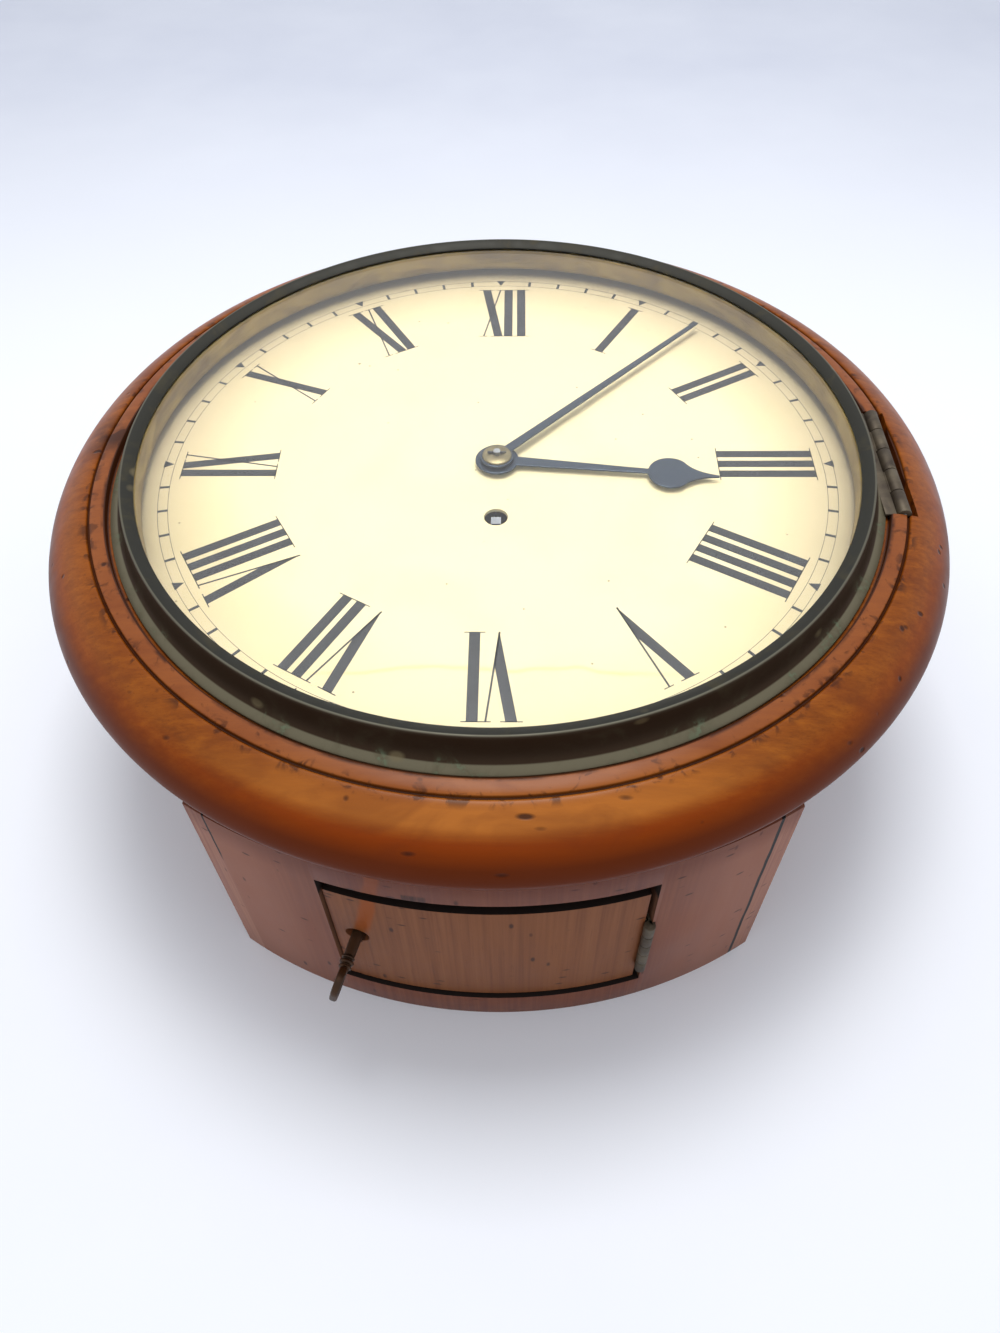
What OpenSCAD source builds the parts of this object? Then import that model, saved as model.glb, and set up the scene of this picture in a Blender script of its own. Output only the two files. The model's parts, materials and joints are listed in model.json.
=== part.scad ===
// Wall dial clock with a twelve inch dial, a spring and fusee movement and a short pendulum.
// It lies on its back: +Z points out of the dial, +Y to twelve o'clock, +X to three o'clock.
// The origin is on the dial's axis, in the plane of the case's back.

/* [Dial] */
// Radius of the iron dial plate
dial_r = 160; // [156:0.5:170]
// Thickness of the dial plate
dial_t = 1.5; // [1:0.1:2]
// Radius of the hole for the hour pipe
dial_centre_hole_r = 6; // [5.5:0.1:8]
// Radius of the winding hole
winding_hole_r = 5; // [4.5:0.1:7]
// Margin of the dial that the sight ring hides
dial_margin = 8.6; // [7.5:0.1:11]

/* [Surround] */
// Gap between the movement's plates and the surround's bore
bore_gap = 2; // [1.5:0.1:4]
// Gap between the dial's edge and its rebate
dial_gap = 1; // [0.5:0.1:1.5]
// Height of the bezel's seat above the dial face
seat_up = 4.5; // [3.5:0.1:5]
// Height of the rim's inner edge above the dial face
rim_in_up = 8.1; // [7:0.1:8.5]
// Height of the rim's outer edge above the dial face
rim_out_up = 7.2; // [6.5:0.1:8]
// Width of the sloping rim between the bezel and the groove
rim_w = 6.2; // [5.5:0.1:7]
// Width of the turned groove
groove_w = 1.6; // [1:0.1:2.5]
// Depth of the turned groove
groove_d = 1.7; // [1:0.1:2.5]
// Width of the outer roll, from the groove to the greatest radius
roll_w = 21.6; // [18:0.2:25]
// Height of the roll's top above the dial face
roll_up = 7; // [6.5:0.1:8]
// Depth of the roll's widest place below the dial face
roll_wide_down = 13.5; // [10:0.5:18]
// Fullness of the roll: a straight slope at 1, an ellipse at 2
roll_fullness = 1.5; // [1.3:0.05:2]
// How far the roll's back edge lies inside its widest place
roll_return = 8.6; // [5:0.1:10]
// Thickness of the surround's back part, from its back to the dial face
surround_back = 25; // [23:0.5:30]

/* [Bezel] */
// How far the bezel's foot reaches past the dial's edge
foot_past_dial = 3.7; // [3:0.1:4]
// Gap between the bezel's foot and the wooden rim
foot_gap = 1.7; // [1:0.1:2.5]
// Height of the bezel above the dial face
bezel_up = 19.2; // [17.5:0.1:21]
// Thickness of the foot at its outer edge
foot_t = 1.45; // [1:0.05:1.6]
// Width of the sloping foot outside the cove
foot_w = 3.2; // [2.5:0.1:3.6]
// Width of the sloping band on top, between the arris and the inner rim
band_w = 4.9; // [4:0.1:5.5]
// How far that band drops towards the glass
band_drop = 2.2; // [1:0.1:3]
// Thickness of the lip over the glass
lip_t = 0.8; // [0.6:0.1:1.2]
// Thickness of the glass
glass_t = 2; // [1.5:0.1:2.6]
// Thickness of the sight ring's wall
sight_t = 0.9; // [0.6:0.1:1.2]
// Height of the sight ring's lower edge above the dial face
sight_up = 4.2; // [3.2:0.1:4.6]

/* [Bezel hinge] */
// Distance from the bezel's foot to the hinge axis
hinge_out = 2.8; // [2.5:0.1:3.2]
// Height of the hinge axis above the dial face
hinge_up = 6.4; // [6:0.1:7.5]
// Radius of the knuckles
knuckle_r = 3; // [2.8:0.05:3.2]
// Length of one knuckle with its gap
knuckle_pitch = 13.1; // [10:0.1:14]
// Distance of the hinge's middle below the dial's centre line
hinge_down = 6; // [2:0.5:8]
// Radius of the hinge pin
hinge_pin_r = 1.1; // [0.8:0.05:1.4]
// Thickness of the hinge leaves
hinge_leaf_t = 1.3; // [1:0.05:1.4]
// Length of the spring catch's tongue
catch_h = 8; // [6:0.5:9]

/* [Case] */
// Depth of the case behind the surround
case_depth = 120; // [110:1:140]
// Width of the case over its sides
case_w = 225.4; // [220:0.2:240]
// Thickness of the side boards and the top board
side_t = 8.2; // [7:0.1:10]
// Height of the case's top above the dial's centre
case_top_y = 115; // [112:1:130]
// How far the belly of the case lies inside the surround's edge
belly_inset = 5.6; // [4:0.1:10]
// Rise of the curved bottom from its middle to its corners
belly_rise = 32.9; // [30:0.1:36]
// Thickness of the curved bottom
bottom_t = 10; // [9:0.5:12]
// Thickness of the back board
back_t = 8; // [7:0.5:10]
// Width of the blocks that join the surround to the case
block_w = 14; // [12:0.5:18]
// Height of those blocks behind the surround
block_h = 24; // [20:0.5:30]
// Length of those blocks along the sides
block_len = 30; // [24:1:36]
// Distance of the blocks' middles from the dial's centre line
block_y = 75; // [70:1:80]
// Radius of the wooden case pegs
peg_r = 3.5; // [3:0.1:4.5]
// How far a peg stands out of the case side
peg_out = 4; // [2:0.5:6]

/* [Bottom door] */
// Distance from the centre line to the opening's left edge
door_left = 64; // [60:0.5:68]
// Distance from the centre line to the opening's right edge
door_right = 61; // [58:0.5:66]
// Height of the opening's lower edge above the case's back
door_low = 17; // [15:0.5:20]
// Distance from the opening's upper edge to the surround
door_high_margin = 18; // [15:0.5:22]
// How far the door lies behind the case's surface
door_recess = 2; // [1:0.1:2.5]
// Gap over the door
door_gap_top = 3; // [1:0.1:4]
// Gap under the door
door_gap_low = 1.7; // [1:0.1:3]
// Gap at the door's closing edge
door_gap_left = 0.9; // [0.8:0.1:2]
// Gap at the hinge edge, which holds both leaves
door_gap_hinge = 2.4; // [2.2:0.1:3]
// Radius of the door hinge's barrel
door_knuckle_r = 2.25; // [2:0.05:2.5]
// Radius of the door hinge's pin
door_pin_r = 1; // [0.7:0.05:1.2]
// Length of one door knuckle with its gap
door_knuckle_pitch = 8.4; // [7:0.1:9]
// Distance of the hinge's middle below the middle of the opening
door_hinge_down = 7.5; // [4:0.5:9]

/* [Lock and key] */
// Distance from the centre line to the keyhole
keyhole_left = 53.9; // [48:0.1:54]
// Height of the keyhole above the middle of the opening
keyhole_up = 1.9; // [-4:0.1:4]
// Radius of the keyhole
keyhole_r = 4; // [3.4:0.1:4.6]
// Radius of the key's stem
key_stem_r = 1.9; // [1.6:0.05:2.1]
// Length of the key outside the case, without its bow
key_stem_out = 14; // [12:0.5:18]
// Length of the key's bow along the stem
bow_len = 12; // [10:0.5:14]
// Width of the key's bow
bow_w = 16; // [14:0.5:20]
// Thickness of the key's bow
bow_t = 3; // [2:0.1:3.6]
// Reach of the key's bit from its axis
bit_r = 5.4; // [4.6:0.1:5.6]
// Depth of the lock case
lock_d = 6.5; // [6:0.1:8]
// Thickness of the lock case's front wall
lock_wall = 1; // [0.8:0.1:1.2]
// Thickness of the tongue that the key turns behind the jamb
tongue_t = 2.4; // [1.6:0.1:3]
// Width of the tongue
tongue_w = 6; // [4:0.1:8]

/* [Hanging plate] */
// Radius of the hanging hole
hang_hole_r = 5.5; // [4.5:0.1:6.5]
// Height of the hanging hole above the dial's centre
hang_y = 80; // [74:1:84]
// Width of the slot above the hanging hole
hang_slot_w = 5; // [4:0.1:6]
// Thickness of the plate
hang_plate_t = 2.5; // [2:0.1:3]
// Width of the plate
hang_plate_w = 44; // [40:1:60]
// Height of the plate
hang_plate_h = 50; // [46:1:52]

/* [Screws] */
// Radius of the wood screws
screw_r = 1.5; // [1.2:0.05:1.7]
// Radius of their heads
screw_head_r = 3; // [2.6:0.1:3.2]
// Length of the wood screws
screw_len = 7.5; // [6:0.1:7.9]

/* [Hands] */
// Angle of the minute hand from twelve, clockwise
minute_angle = 44; // [0:1:359]
// Angle of the hour hand from twelve, clockwise
hour_angle = 96.75; // [0:0.25:359.75]
// Length of the minute hand
minute_len = 140; // [120:1:145]
// Length of the hour hand
hour_len = 96; // [88:1:110]
// Radius of the hour hand's disc
spade_r = 9.5; // [7:0.1:11]
// Distance from the centre to the middle of that disc
spade_at = 75; // [68:0.5:80]
// Thickness of the hands
hand_t = 0.9; // [0.7:0.05:1]
// Radius of the hour hand's boss
hour_boss_r = 9.4; // [8.5:0.1:11]
// Radius of the minute hand's boss
minute_boss_r = 7.4; // [6:0.1:8]
// Radius of the domed collet over the minute hand
collet_r = 6.4; // [4:0.1:7]

/* [Movement] */
// Length of the dial feet, from the front plate to the dial
dial_foot_len = 23; // [22:0.5:28]
// Thickness of the movement plates
plate_t = 2.6; // [2.2:0.1:3.2]
// Distance between the movement plates
plate_gap = 43.9; // [43:0.1:48]
// Cut of the movement plates' upper corners
plate_cut = 18; // [16:1:22]
// Radius of the plate pillars
pillar_r = 4; // [3.5:0.1:4.5]
// Radius of the dial feet
dial_foot_r = 3.5; // [3:0.1:4]
// Radius of the tenons on pillars and feet
tenon_r = 2.2; // [2:0.1:2.6]
// Radius of the taper pins
taper_pin_r = 0.8; // [0.6:0.05:1]
// Length of the taper pins
taper_pin_len = 12; // [8:0.5:14]
// Radius of the spring barrel
barrel_r = 24; // [22:0.2:24.6]
// Wall of the spring barrel
barrel_wall = 1.5; // [1:0.1:1.8]
// Radius of the fusee's large end
fusee_big_r = 24; // [22:0.2:25]
// Radius of the fusee's small end
fusee_small_r = 11; // [9:0.2:13]
// Number of grooves on the fusee
fusee_turns = 16; // [10:1:18]
// Radius of the gut line
line_r = 0.7; // [0.5:0.05:0.8]
// Width across the winding square
square_w = 4.2; // [3.8:0.1:4.2]
// Radius of the escape wheel
escape_r = 17.5; // [16:0.1:17.8]
// Radius of the pendulum bob
bob_r = 26; // [22:0.5:28]
// Thickness of the pendulum bob
bob_t = 16; // [12:0.5:18]
// Radius of the pendulum rod
rod_r = 1.6; // [1.2:0.05:2]
// Distance of the pendulum behind the back plate
pendulum_back = 9.4; // [9:0.1:10]

/* [Hidden] */
$fn = 96;

// Clearances
run = 0.05;         // radial play of a pin, pivot or pipe in its bore
snug = 0.02;        // radial play of a piece driven into its hole
slide = 0.2;        // play beside a piece that slides or lies loose
eps = 0.5;          // how far a cut runs past the face that it opens
far = 300;          // longer than any piece, for cuts that run right through

// Colours
wood_c = "#a5612c";
box_c = "#8f5e4c";
block_c = "#9c7448";
brass_c = "#b59a58";
old_brass_c = "#4a4638";
gold_c = "#b8a468";
steel_c = "#8b8d90";
blue_c = "#2f3338";
cream_c = "#efe6c4";
glass_c = "#dfe9ea";
gut_c = "#c9b27c";
iron_c = "#5a4a3a";

// Heights
dial_z = case_depth + surround_back;
dial_back_z = dial_z - dial_t;
foot_z = dial_z + seat_up + slide;
foot_edge_z = foot_z + foot_t;
bezel_z = dial_z + bezel_up;
lip_z = bezel_z - band_drop - lip_t;
glass_z = lip_z - glass_t;

// Outline of the movement's plates, which the surround's bore lets through
plate_left = -83;
plate_right = 44;
plate_low = -69;
plate_high = 84;
bore_r = norm([plate_left, plate_low]) + bore_gap;
plate_room = 2;

// Radii of the dial, bezel and surround, each built out from the dial
rebate_r = dial_r + dial_gap;
sight_r = dial_r - dial_margin;
arris_r = sight_r + band_w;
foot_r = dial_r + foot_past_dial;
cove_r = foot_r - foot_w;
glass_r = arris_r - 2.2;
foot_inner_r = foot_r - 6.1;
flange_t = 0.8;
rim_in_r = foot_r + foot_gap;
groove_in_r = rim_in_r + rim_w;
groove_out_r = groove_in_r + groove_w;
surround_r = groove_out_r + roll_w;
roll_top_r = groove_out_r + 0.5;
roll_back_r = surround_r - roll_return;

// Bezel hinge, with its axis along Y
hinge_x = foot_r + hinge_out;
hinge_z = dial_z + hinge_up;
hinge_len = 5 * knuckle_pitch;
hinge_low_y = -hinge_down - hinge_len / 2;
hinge_leaf_top = hinge_z - knuckle_r - 0.15;
hinge_leaf_low = hinge_leaf_top - hinge_leaf_t;
knuckle_gap = 0.3;
leaf_reach = knuckle_r + slide;
leaf_w = 8;
leaf_t = 1.2;
leaf_z = foot_edge_z + 0.15;
recess_gap = 0.4;
recess_end = hinge_down + hinge_len / 2 + recess_gap;
recess_x = sqrt(rim_in_r * rim_in_r - recess_end * recess_end) - slide;

// Case
half_w = case_w / 2;
in_half = half_w - side_t;
belly_y = -(surround_r - belly_inset);
arc_r = (half_w * half_w + belly_rise * belly_rise) / (2 * belly_rise);
arc_y = belly_y + arc_r;
in_arc_r = arc_r - bottom_t;
in_top_y = case_top_y - side_t;
block_z = case_depth - block_h;
peg_z = case_depth - block_h / 2;

// Door, in angles around the centre of the bottom's curve
door_top_z = case_depth - door_high_margin;
door_mid_z = (door_low + door_top_z) / 2;
open_a0 = -asin(door_left / arc_r);
open_a1 = asin(door_right / arc_r);
door_a0 = open_a0 + per_mm(door_gap_left);
door_a1 = open_a1 - per_mm(door_gap_hinge);
door_out_r = arc_r - door_recess;
door_in_r = in_arc_r + 0.3;
stop_t = 4;
stop_h = 10;
stop_lap = 5;
door_hinge_a = open_a1 - per_mm(door_gap_hinge / 2);
door_axis_r = arc_r + 0.7;
door_hinge_len = 5 * door_knuckle_pitch;
door_hinge_z = door_mid_z - door_hinge_down - door_hinge_len / 2;
door_leaf_t = door_gap_hinge / 2 - 0.3;
door_leaf_in = in_arc_r + 1.5;

// Lock, in a frame turned to the keyhole's angle
key_a = -asin(keyhole_left / arc_r);
key_z = door_mid_z + keyhole_up;
lock_out_r = door_in_r - 0.6;
lock_in_r = lock_out_r - lock_d;
lock_half = bit_r + 3;
plug_r = bit_r + 0.8;
tongue_out_r = lock_in_r - slide;
tongue_in_r = tongue_out_r - tongue_t;
tongue_foot = norm([lock_half, lock_half]) + 0.6;
tongue_len = arc_mm(key_a - open_a0) + 6;
tongue_reach = sqrt(pow(in_arc_r, 2) - pow(norm([tongue_len, tongue_w / 2]), 2)) - run;
bit_half = 0.8;

// Movement
front_z1 = dial_back_z - dial_foot_len;
front_z0 = front_z1 - plate_t;
back_z1 = front_z0 - plate_gap;
back_z0 = back_z1 - plate_t;
pillar_at = [[plate_left + 11, 66], [plate_right - 10, 67], [plate_left + 5, -64], [plate_right - 7, -62]];
dial_foot_at = [[-50, 60], [22, 58], [-28, -62], [22, -62]];
pin_out = 4.5;

// Wheels: teeth and modules, with the arbors that follow from them
great_n = 96;
centre_pinion_n = 8;
great_m = 0.644;
fusee_y = -great_m * (great_n + centre_pinion_n) / 2;
centre_n = 96;
third_pinion_n = 8;
centre_m = 0.5;
third_dist = centre_m * (centre_n + third_pinion_n) / 2;
third_dir = 135;
third_at = third_dist * [cos(third_dir), sin(third_dir)];
third_n = 88;
escape_pinion_n = 8;
third_m = 0.45;
escape_dist = third_m * (third_n + escape_pinion_n) / 2;
escape_y = third_at[1] + sqrt(escape_dist * escape_dist - third_at[0] * third_at[0]);
escape_n = 30;
pallet_y = 62;
cannon_n = 40;
cannon_m = 0.55;
motion_dist = cannon_m * cannon_n;
motion_at = motion_dist * [cos(45), sin(45)];
minute_pinion_n = 6;
hour_n = 72;
hour_m = 2 * motion_dist / (minute_pinion_n + hour_n);
barrel_at = [-56, -42];

// Shape of the teeth, in modules and shares of the pitch
wheel_tooth = [0.9, 1.2, 0.07, 0.26];
pinion_leaf = [0.6, 1.1, 0.10, 0.17];

// Levels of the wheels between the plates
centre_wheel_z = back_z1 + 2.2;
great_wheel_z = back_z1 + 7;
escape_wheel_z = back_z1 + 18;
third_wheel_z = back_z1 + 30;
barrel_z = back_z1 + 6;
barrel_len = 32;
fusee_z = great_wheel_z + 4.4;
fusee_len = 26;
wheel_t = 1.5;
great_t = 2.4;

// Levels of the motion work in front of the front plate
cannon_z = front_z1 + 2.5;
hour_wheel_z = front_z1 + 5.5;
hour_hand_z = dial_z + 2;
minute_hand_z = dial_z + 3.9;
collet_z = minute_hand_z + hand_t;
pin_z = collet_z + 1.85;

// Radii of the arbors and pipes
centre_arbor_r = 1.6;
third_arbor_r = 1.35;
escape_arbor_r = 1.2;
pallet_arbor_r = 1.5;
centre_front_r = 1.5;
pivot_r = 1;
fusee_arbor_r = 4;
fusee_pivot_r = 3;
barrel_arbor_r = 4;
barrel_pivot_r = 2.5;
post_r = 0.7;
hand_pin_r = 0.55;
cannon_pipe_r = 3;
hand_seat_r = 2.1;
hour_pipe_r = 4.6;
shoulder = 0.3;
ratchet_square = 3.4;
barrel_core_r = 7;

// Pendulum
pendulum_z = back_z0 - pendulum_back;
rod_end_y = arc_y - in_arc_r + 3;
nut_y = rod_end_y + 3.2;
nut_h = 4;
bob_y = nut_y + nut_h + slide + bob_r;
spring_w = 6;
spring_t = 0.3;
spring_lap = 4;
rod_block_y = 44;
rod_block = [6, 10, 8];
crutch_len = 38;
fork_h = 3;
fork_t = 1.2;
crutch_t = 1.6;

// Angle that spans a length along the case's outer curve
function per_mm(mm) = mm / arc_r * 180 / PI;
// Length along the door's inner curve that an angle spans
function arc_mm(a) = a * PI / 180 * door_in_r;

// Point on a curve from a to c that is drawn towards b
function bend(a, b, c, t) = (1 - t) * (1 - t) * a + 2 * t * (1 - t) * b + t * t * c;

// Round boss of a hand, left open where a shaft of half width w leaves it
function boss_outline(r, w) = [for (k = [0 : 36])
    r * [cos(180 - acos(w / r) + k * (180 + 2 * acos(w / r)) / 36),
         sin(180 - acos(w / r) + k * (180 + 2 * acos(w / r)) / 36)]];

// Ring sector around the centre of the bottom's curve, with angles from -Y
module sector(r0, r1, a0, a1, z0, z1) {
    translate([0, arc_y, 0])
        rotate([0, 0, a0 - 90])
            rotate_extrude(angle = a1 - a0)
                translate([r0, z0])
                    square([r1 - r0, z1 - z0]);
}

// Frame whose -Y points out of the curved bottom at an angle
module at_bottom(a) {
    translate([0, arc_y, 0])
        rotate([0, 0, a])
            children();
}

// Block between two corners
module block(low, high) {
    translate(low)
        cube(high - low);
}

// Upright rod between two heights
module rod(r, z0, z1) {
    translate([0, 0, z0])
        cylinder(r = r, h = z1 - z0);
}

// Rod along Y between two places
module rod_y(r, y0, y1) {
    translate([0, y0, 0])
        rotate([-90, 0, 0])
            cylinder(r = r, h = y1 - y0);
}

// Rod along X, centred
module rod_x(r, len) {
    rotate([0, 90, 0])
        cylinder(r = r, h = len, center = true);
}

// Outline of a wheel or pinion with n teeth of module m
module gear_outline(n, m, tooth) {
    step = 360 / n;
    tip = m * (n / 2 + tooth[0]);
    root = m * (n / 2 - tooth[1]);
    polygon([
        for (i = [0 : n - 1], k = [-tooth[3], -tooth[2], tooth[2], tooth[3]])
            (abs(k) == tooth[2] ? tip : root) * [cos((i + k) * step), sin((i + k) * step)]
    ]);
}

// Gear between two heights
module gear(n, m, tooth, z0, t) {
    translate([0, 0, z0])
        linear_extrude(t)
            gear_outline(n, m, tooth);
}

// Openings between the spokes of a wheel, between two radii
module spoke_gaps(r0, r1, spokes, spoke_w) {
    difference() {
        circle(r = r1);
        circle(r = r0);
        for (i = [0 : spokes - 1])
            rotate(i * 360 / spokes)
                translate([0, -spoke_w / 2])
                    square([r1 + eps, spoke_w]);
    }
}

// Crossed-out wheel: teeth, rim and spokes, with a bored hub
module crossed_wheel(n, m, z0, t, hub_r, hole_r) {
    rim_r = m * (n / 2 - wheel_tooth[1]) - 2;
    translate([0, 0, z0])
        linear_extrude(t)
            difference() {
                gear_outline(n, m, wheel_tooth);
                spoke_gaps(hub_r, rim_r, 5, 2);
                if (hole_r > 0)
                    circle(r = hole_r);
            }
}

// Arbor from pivot to pivot between the plates
module plain_arbor(r, back_pivot, front_pivot) {
    rod(back_pivot, back_z0 - 0.2, back_z1 + shoulder);
    rod(r, back_z1 + shoulder, front_z0 - shoulder);
    rod(front_pivot, front_z0 - shoulder, front_z1 + 0.2);
}

// Countersunk wood screw whose head lies in the plane z = 0 and whose shaft points down
module wood_screw(grow) {
    translate([0, 0, -screw_head_r + screw_r])
        cylinder(r1 = screw_r + grow, r2 = screw_head_r + grow, h = screw_head_r - screw_r);
    translate([0, 0, -screw_len - grow])
        cylinder(r = screw_r + grow, h = screw_len + grow - screw_head_r + screw_r + 0.01);
}

// The four dial screws
module dial_screw_places() {
    for (a = [45 : 90 : 315])
        rotate([0, 0, a])
            translate([sight_r + 4.6, 0, dial_z])
                children();
}

// The four screws of the hanging plate, driven from behind
module hang_screw_places() {
    for (sx = [-1, 1], y = [hang_y - 24, hang_y + 16])
        translate([sx * (hang_plate_w / 2 - 6), y, 0])
            rotate([180, 0, 0])
                children();
}

// The four places of the pegs and blocks
module block_places() {
    for (sx = [-1, 1], sy = [-1, 1])
        translate([sx * (in_half - block_w / 2), sy * block_y, 0])
            children();
}

// Outer side of the bezel, from the foot to the arris
function bezel_outside() = concat(
    [[foot_r, foot_z], [foot_r, foot_edge_z]],
    [for (t = [0 : 0.125 : 1])
        bend([cove_r, foot_edge_z + foot_t], [cove_r - 3.2, foot_edge_z + 2.9],
             [arris_r + 0.4, bezel_z - 0.5], t)],
    [[arris_r, bezel_z]]
);

// Section of the bezel
module bezel_section() {
    polygon(concat(
        bezel_outside(),
        [[sight_r, bezel_z - band_drop], [sight_r, lip_z], [glass_r + slide, lip_z],
         [glass_r + slide, glass_z - 1.2], [foot_inner_r - 2, foot_z + 4.4],
         [foot_inner_r, foot_z + foot_t], [foot_inner_r, foot_z]]
    ));
}

// Share of the roll's width or height at a share of its quarter turn
function full(share) = pow(share, 2 / roll_fullness);

// Turned wooden surround with its rebate for the dial and its seat for the bezel
module surround() {
    roll_rise = roll_up + roll_wide_down;
    roll_fall = surround_back - roll_wide_down;
    color(wood_c)
        difference() {
            rotate_extrude()
                polygon(concat(
                    [[bore_r, case_depth], [bore_r, dial_back_z], [rebate_r, dial_back_z],
                     [rebate_r, dial_z + seat_up], [rim_in_r, dial_z + seat_up],
                     [rim_in_r, dial_z + rim_in_up], [groove_in_r, dial_z + rim_out_up],
                     [groove_in_r + 0.2, dial_z + rim_out_up - groove_d],
                     [groove_out_r - 0.2, dial_z + rim_out_up - groove_d],
                     [groove_out_r, dial_z + roll_up - 0.3]],
                    [for (a = [90 : -7.5 : 0])
                        [roll_top_r + (surround_r - roll_top_r) * full(cos(a)),
                         dial_z - roll_wide_down + roll_rise * full(sin(a))]],
                    [for (a = [15 : 15 : 90])
                        [roll_back_r + roll_return * full(cos(a)),
                         dial_z - roll_wide_down - roll_fall * full(sin(a))]]
                ));
            block([recess_x, hinge_low_y - recess_gap, hinge_leaf_low],
                  [hinge_x + knuckle_r + 0.5, hinge_low_y + hinge_len + recess_gap, dial_z + far]);
            block([-foot_r - eps, -6.5, foot_z - catch_h - 1],
                  [-rebate_r + eps, 6.5, dial_z + seat_up + eps]);
            dial_screw_places()
                wood_screw(snug);
        }
}

// Blocks glued behind the surround, inside the case
module surround_blocks() {
    color(block_c)
        difference() {
            block_places()
                translate([slide - block_w / 2, -block_len / 2, block_z])
                    cube([block_w - 2 * slide, block_len, block_h]);
            peg_holes(snug);
            plate_space();
        }
}

// Room that the blocks and pegs leave free beside the movement's plates
module plate_space() {
    block([plate_left - plate_room, plate_low - plate_room, block_z - eps],
          [plate_right + plate_room, plate_high + plate_room, case_depth + eps]);
}

// Holes for the pegs, right through the sides and blocks
module peg_holes(grow) {
    for (sy = [-1, 1])
        translate([0, sy * block_y, peg_z])
            rod_x(peg_r + grow, far);
}

// One side board, with its lower end cut to the curve of the bottom
module side_board(sx) {
    color(box_c)
        difference() {
            intersection() {
                block([min(sx * in_half, sx * half_w), -far, 0],
                      [max(sx * in_half, sx * half_w), case_top_y, case_depth]);
                translate([0, arc_y, -eps])
                    cylinder(r = arc_r, h = case_depth + 2 * eps, $fn = 180);
            }
            peg_holes(snug);
        }
}

module case_side_left() {
    side_board(-1);
}

module case_side_right() {
    side_board(1);
}

// Top board between the sides
module case_top() {
    color(box_c)
        block([-in_half, in_top_y, 0], [in_half, case_top_y, case_depth]);
}

// Curved bottom with its door opening
module curved_bottom() {
    color(box_c)
        difference() {
            intersection() {
                translate([0, arc_y, 0])
                    difference() {
                        cylinder(r = arc_r, h = case_depth, $fn = 180);
                        rod(in_arc_r, -eps, case_depth + eps);
                    }
                block([-in_half, belly_y - eps, -eps],
                      [in_half, arc_y - in_arc_r * cos(asin(in_half / in_arc_r)) + eps, case_depth + eps]);
            }
            sector(in_arc_r - 5, arc_r + 5, open_a0, open_a1, door_low, door_top_z);
            door_hinge_cut();
        }
}

// Room in the jamb for the hinge's barrel and leaf
module door_hinge_cut() {
    at_bottom(door_hinge_a) {
        translate([0, -door_axis_r, 0])
            rod(door_knuckle_r + 0.35, door_hinge_z - 0.3, door_hinge_z + door_hinge_len + 0.3);
        block([-slide, -door_axis_r, door_hinge_z],
              [0.3 + door_leaf_t, -door_leaf_in, door_hinge_z + door_hinge_len]);
    }
}

// Back board between the sides, with the hole behind the hanging plate
module back_board() {
    color(block_c)
        difference() {
            intersection() {
                block([-in_half, -far, 0], [in_half, in_top_y, back_t]);
                translate([0, arc_y, -eps])
                    cylinder(r = in_arc_r - slide, h = back_t + 2 * eps, $fn = 180);
            }
            translate([0, hang_y, 0]) {
                block([-hang_plate_w / 2 - slide, -30 - slide, -eps],
                      [hang_plate_w / 2 + slide, hang_plate_h - 30 + slide, hang_plate_t]);
                rod(hang_hole_r + 3, -eps, back_t + eps);
                block([-hang_slot_w / 2 - 3, 0, -eps], [hang_slot_w / 2 + 3, 15, back_t + eps]);
            }
            hang_screw_places()
                wood_screw(snug);
        }
}

// Wooden pegs through the sides into the blocks
module case_pegs() {
    peg_len = block_w + side_t + peg_out;
    color(wood_c)
        difference() {
            for (sx = [-1, 1], sy = [-1, 1])
                translate([sx * (half_w + peg_out - peg_len / 2), sy * block_y, peg_z])
                    rod_x(peg_r, peg_len);
            plate_space();
        }
}

// Iron plate with a hole and slot for a wall screw
module hanging_plate() {
    color(iron_c)
        difference() {
            translate([0, hang_y, 0])
                difference() {
                    block([-hang_plate_w / 2, -30, 0],
                          [hang_plate_w / 2, hang_plate_h - 30, hang_plate_t]);
                    rod(hang_hole_r, -eps, hang_plate_t + eps);
                    block([-hang_slot_w / 2, 0, -eps], [hang_slot_w / 2, 12, hang_plate_t + eps]);
                }
            hang_screw_places()
                wood_screw(snug);
        }
}

// Screws of the dial and of the hanging plate, all of one size
module wood_screws() {
    color(steel_c) {
        dial_screw_places()
            wood_screw(0);
        hang_screw_places()
            wood_screw(0);
    }
}

// Two wooden stops behind the door's closing edge
module door_stops() {
    color(block_c)
        for (z = [door_low, door_top_z - stop_h])
            sector(in_arc_r - stop_t, in_arc_r, open_a0 - per_mm(stop_lap), open_a0 + per_mm(stop_lap),
                   z, z + stop_h);
}

// Curved door
module bottom_door() {
    color(box_c)
        difference() {
            sector(door_in_r, door_out_r, door_a0, door_a1, door_low + door_gap_low,
                   door_top_z - door_gap_top);
            at_bottom(key_a)
                translate([0, -arc_r - 5, key_z])
                    keyhole_cut(20);
            at_bottom(door_hinge_a)
                block([-0.3 - door_leaf_t, -door_axis_r, door_hinge_z],
                      [slide, -door_leaf_in, door_hinge_z + door_hinge_len]);
        }
}

// Keyhole: a worn round hole with a slot below it for the bit
module keyhole_cut(depth) {
    rod_y(keyhole_r, 0, depth);
    block([-1.4, 0, -bit_r - 0.6], [1.4, depth, 0]);
}

// Knuckles along Z of the door hinge, numbered from 0 at the bottom
module door_knuckles(which) {
    for (i = which)
        translate([0, -door_axis_r, door_hinge_z + i * door_knuckle_pitch + knuckle_gap / 2])
            cylinder(r = door_knuckle_r, h = door_knuckle_pitch - knuckle_gap);
}

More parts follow.
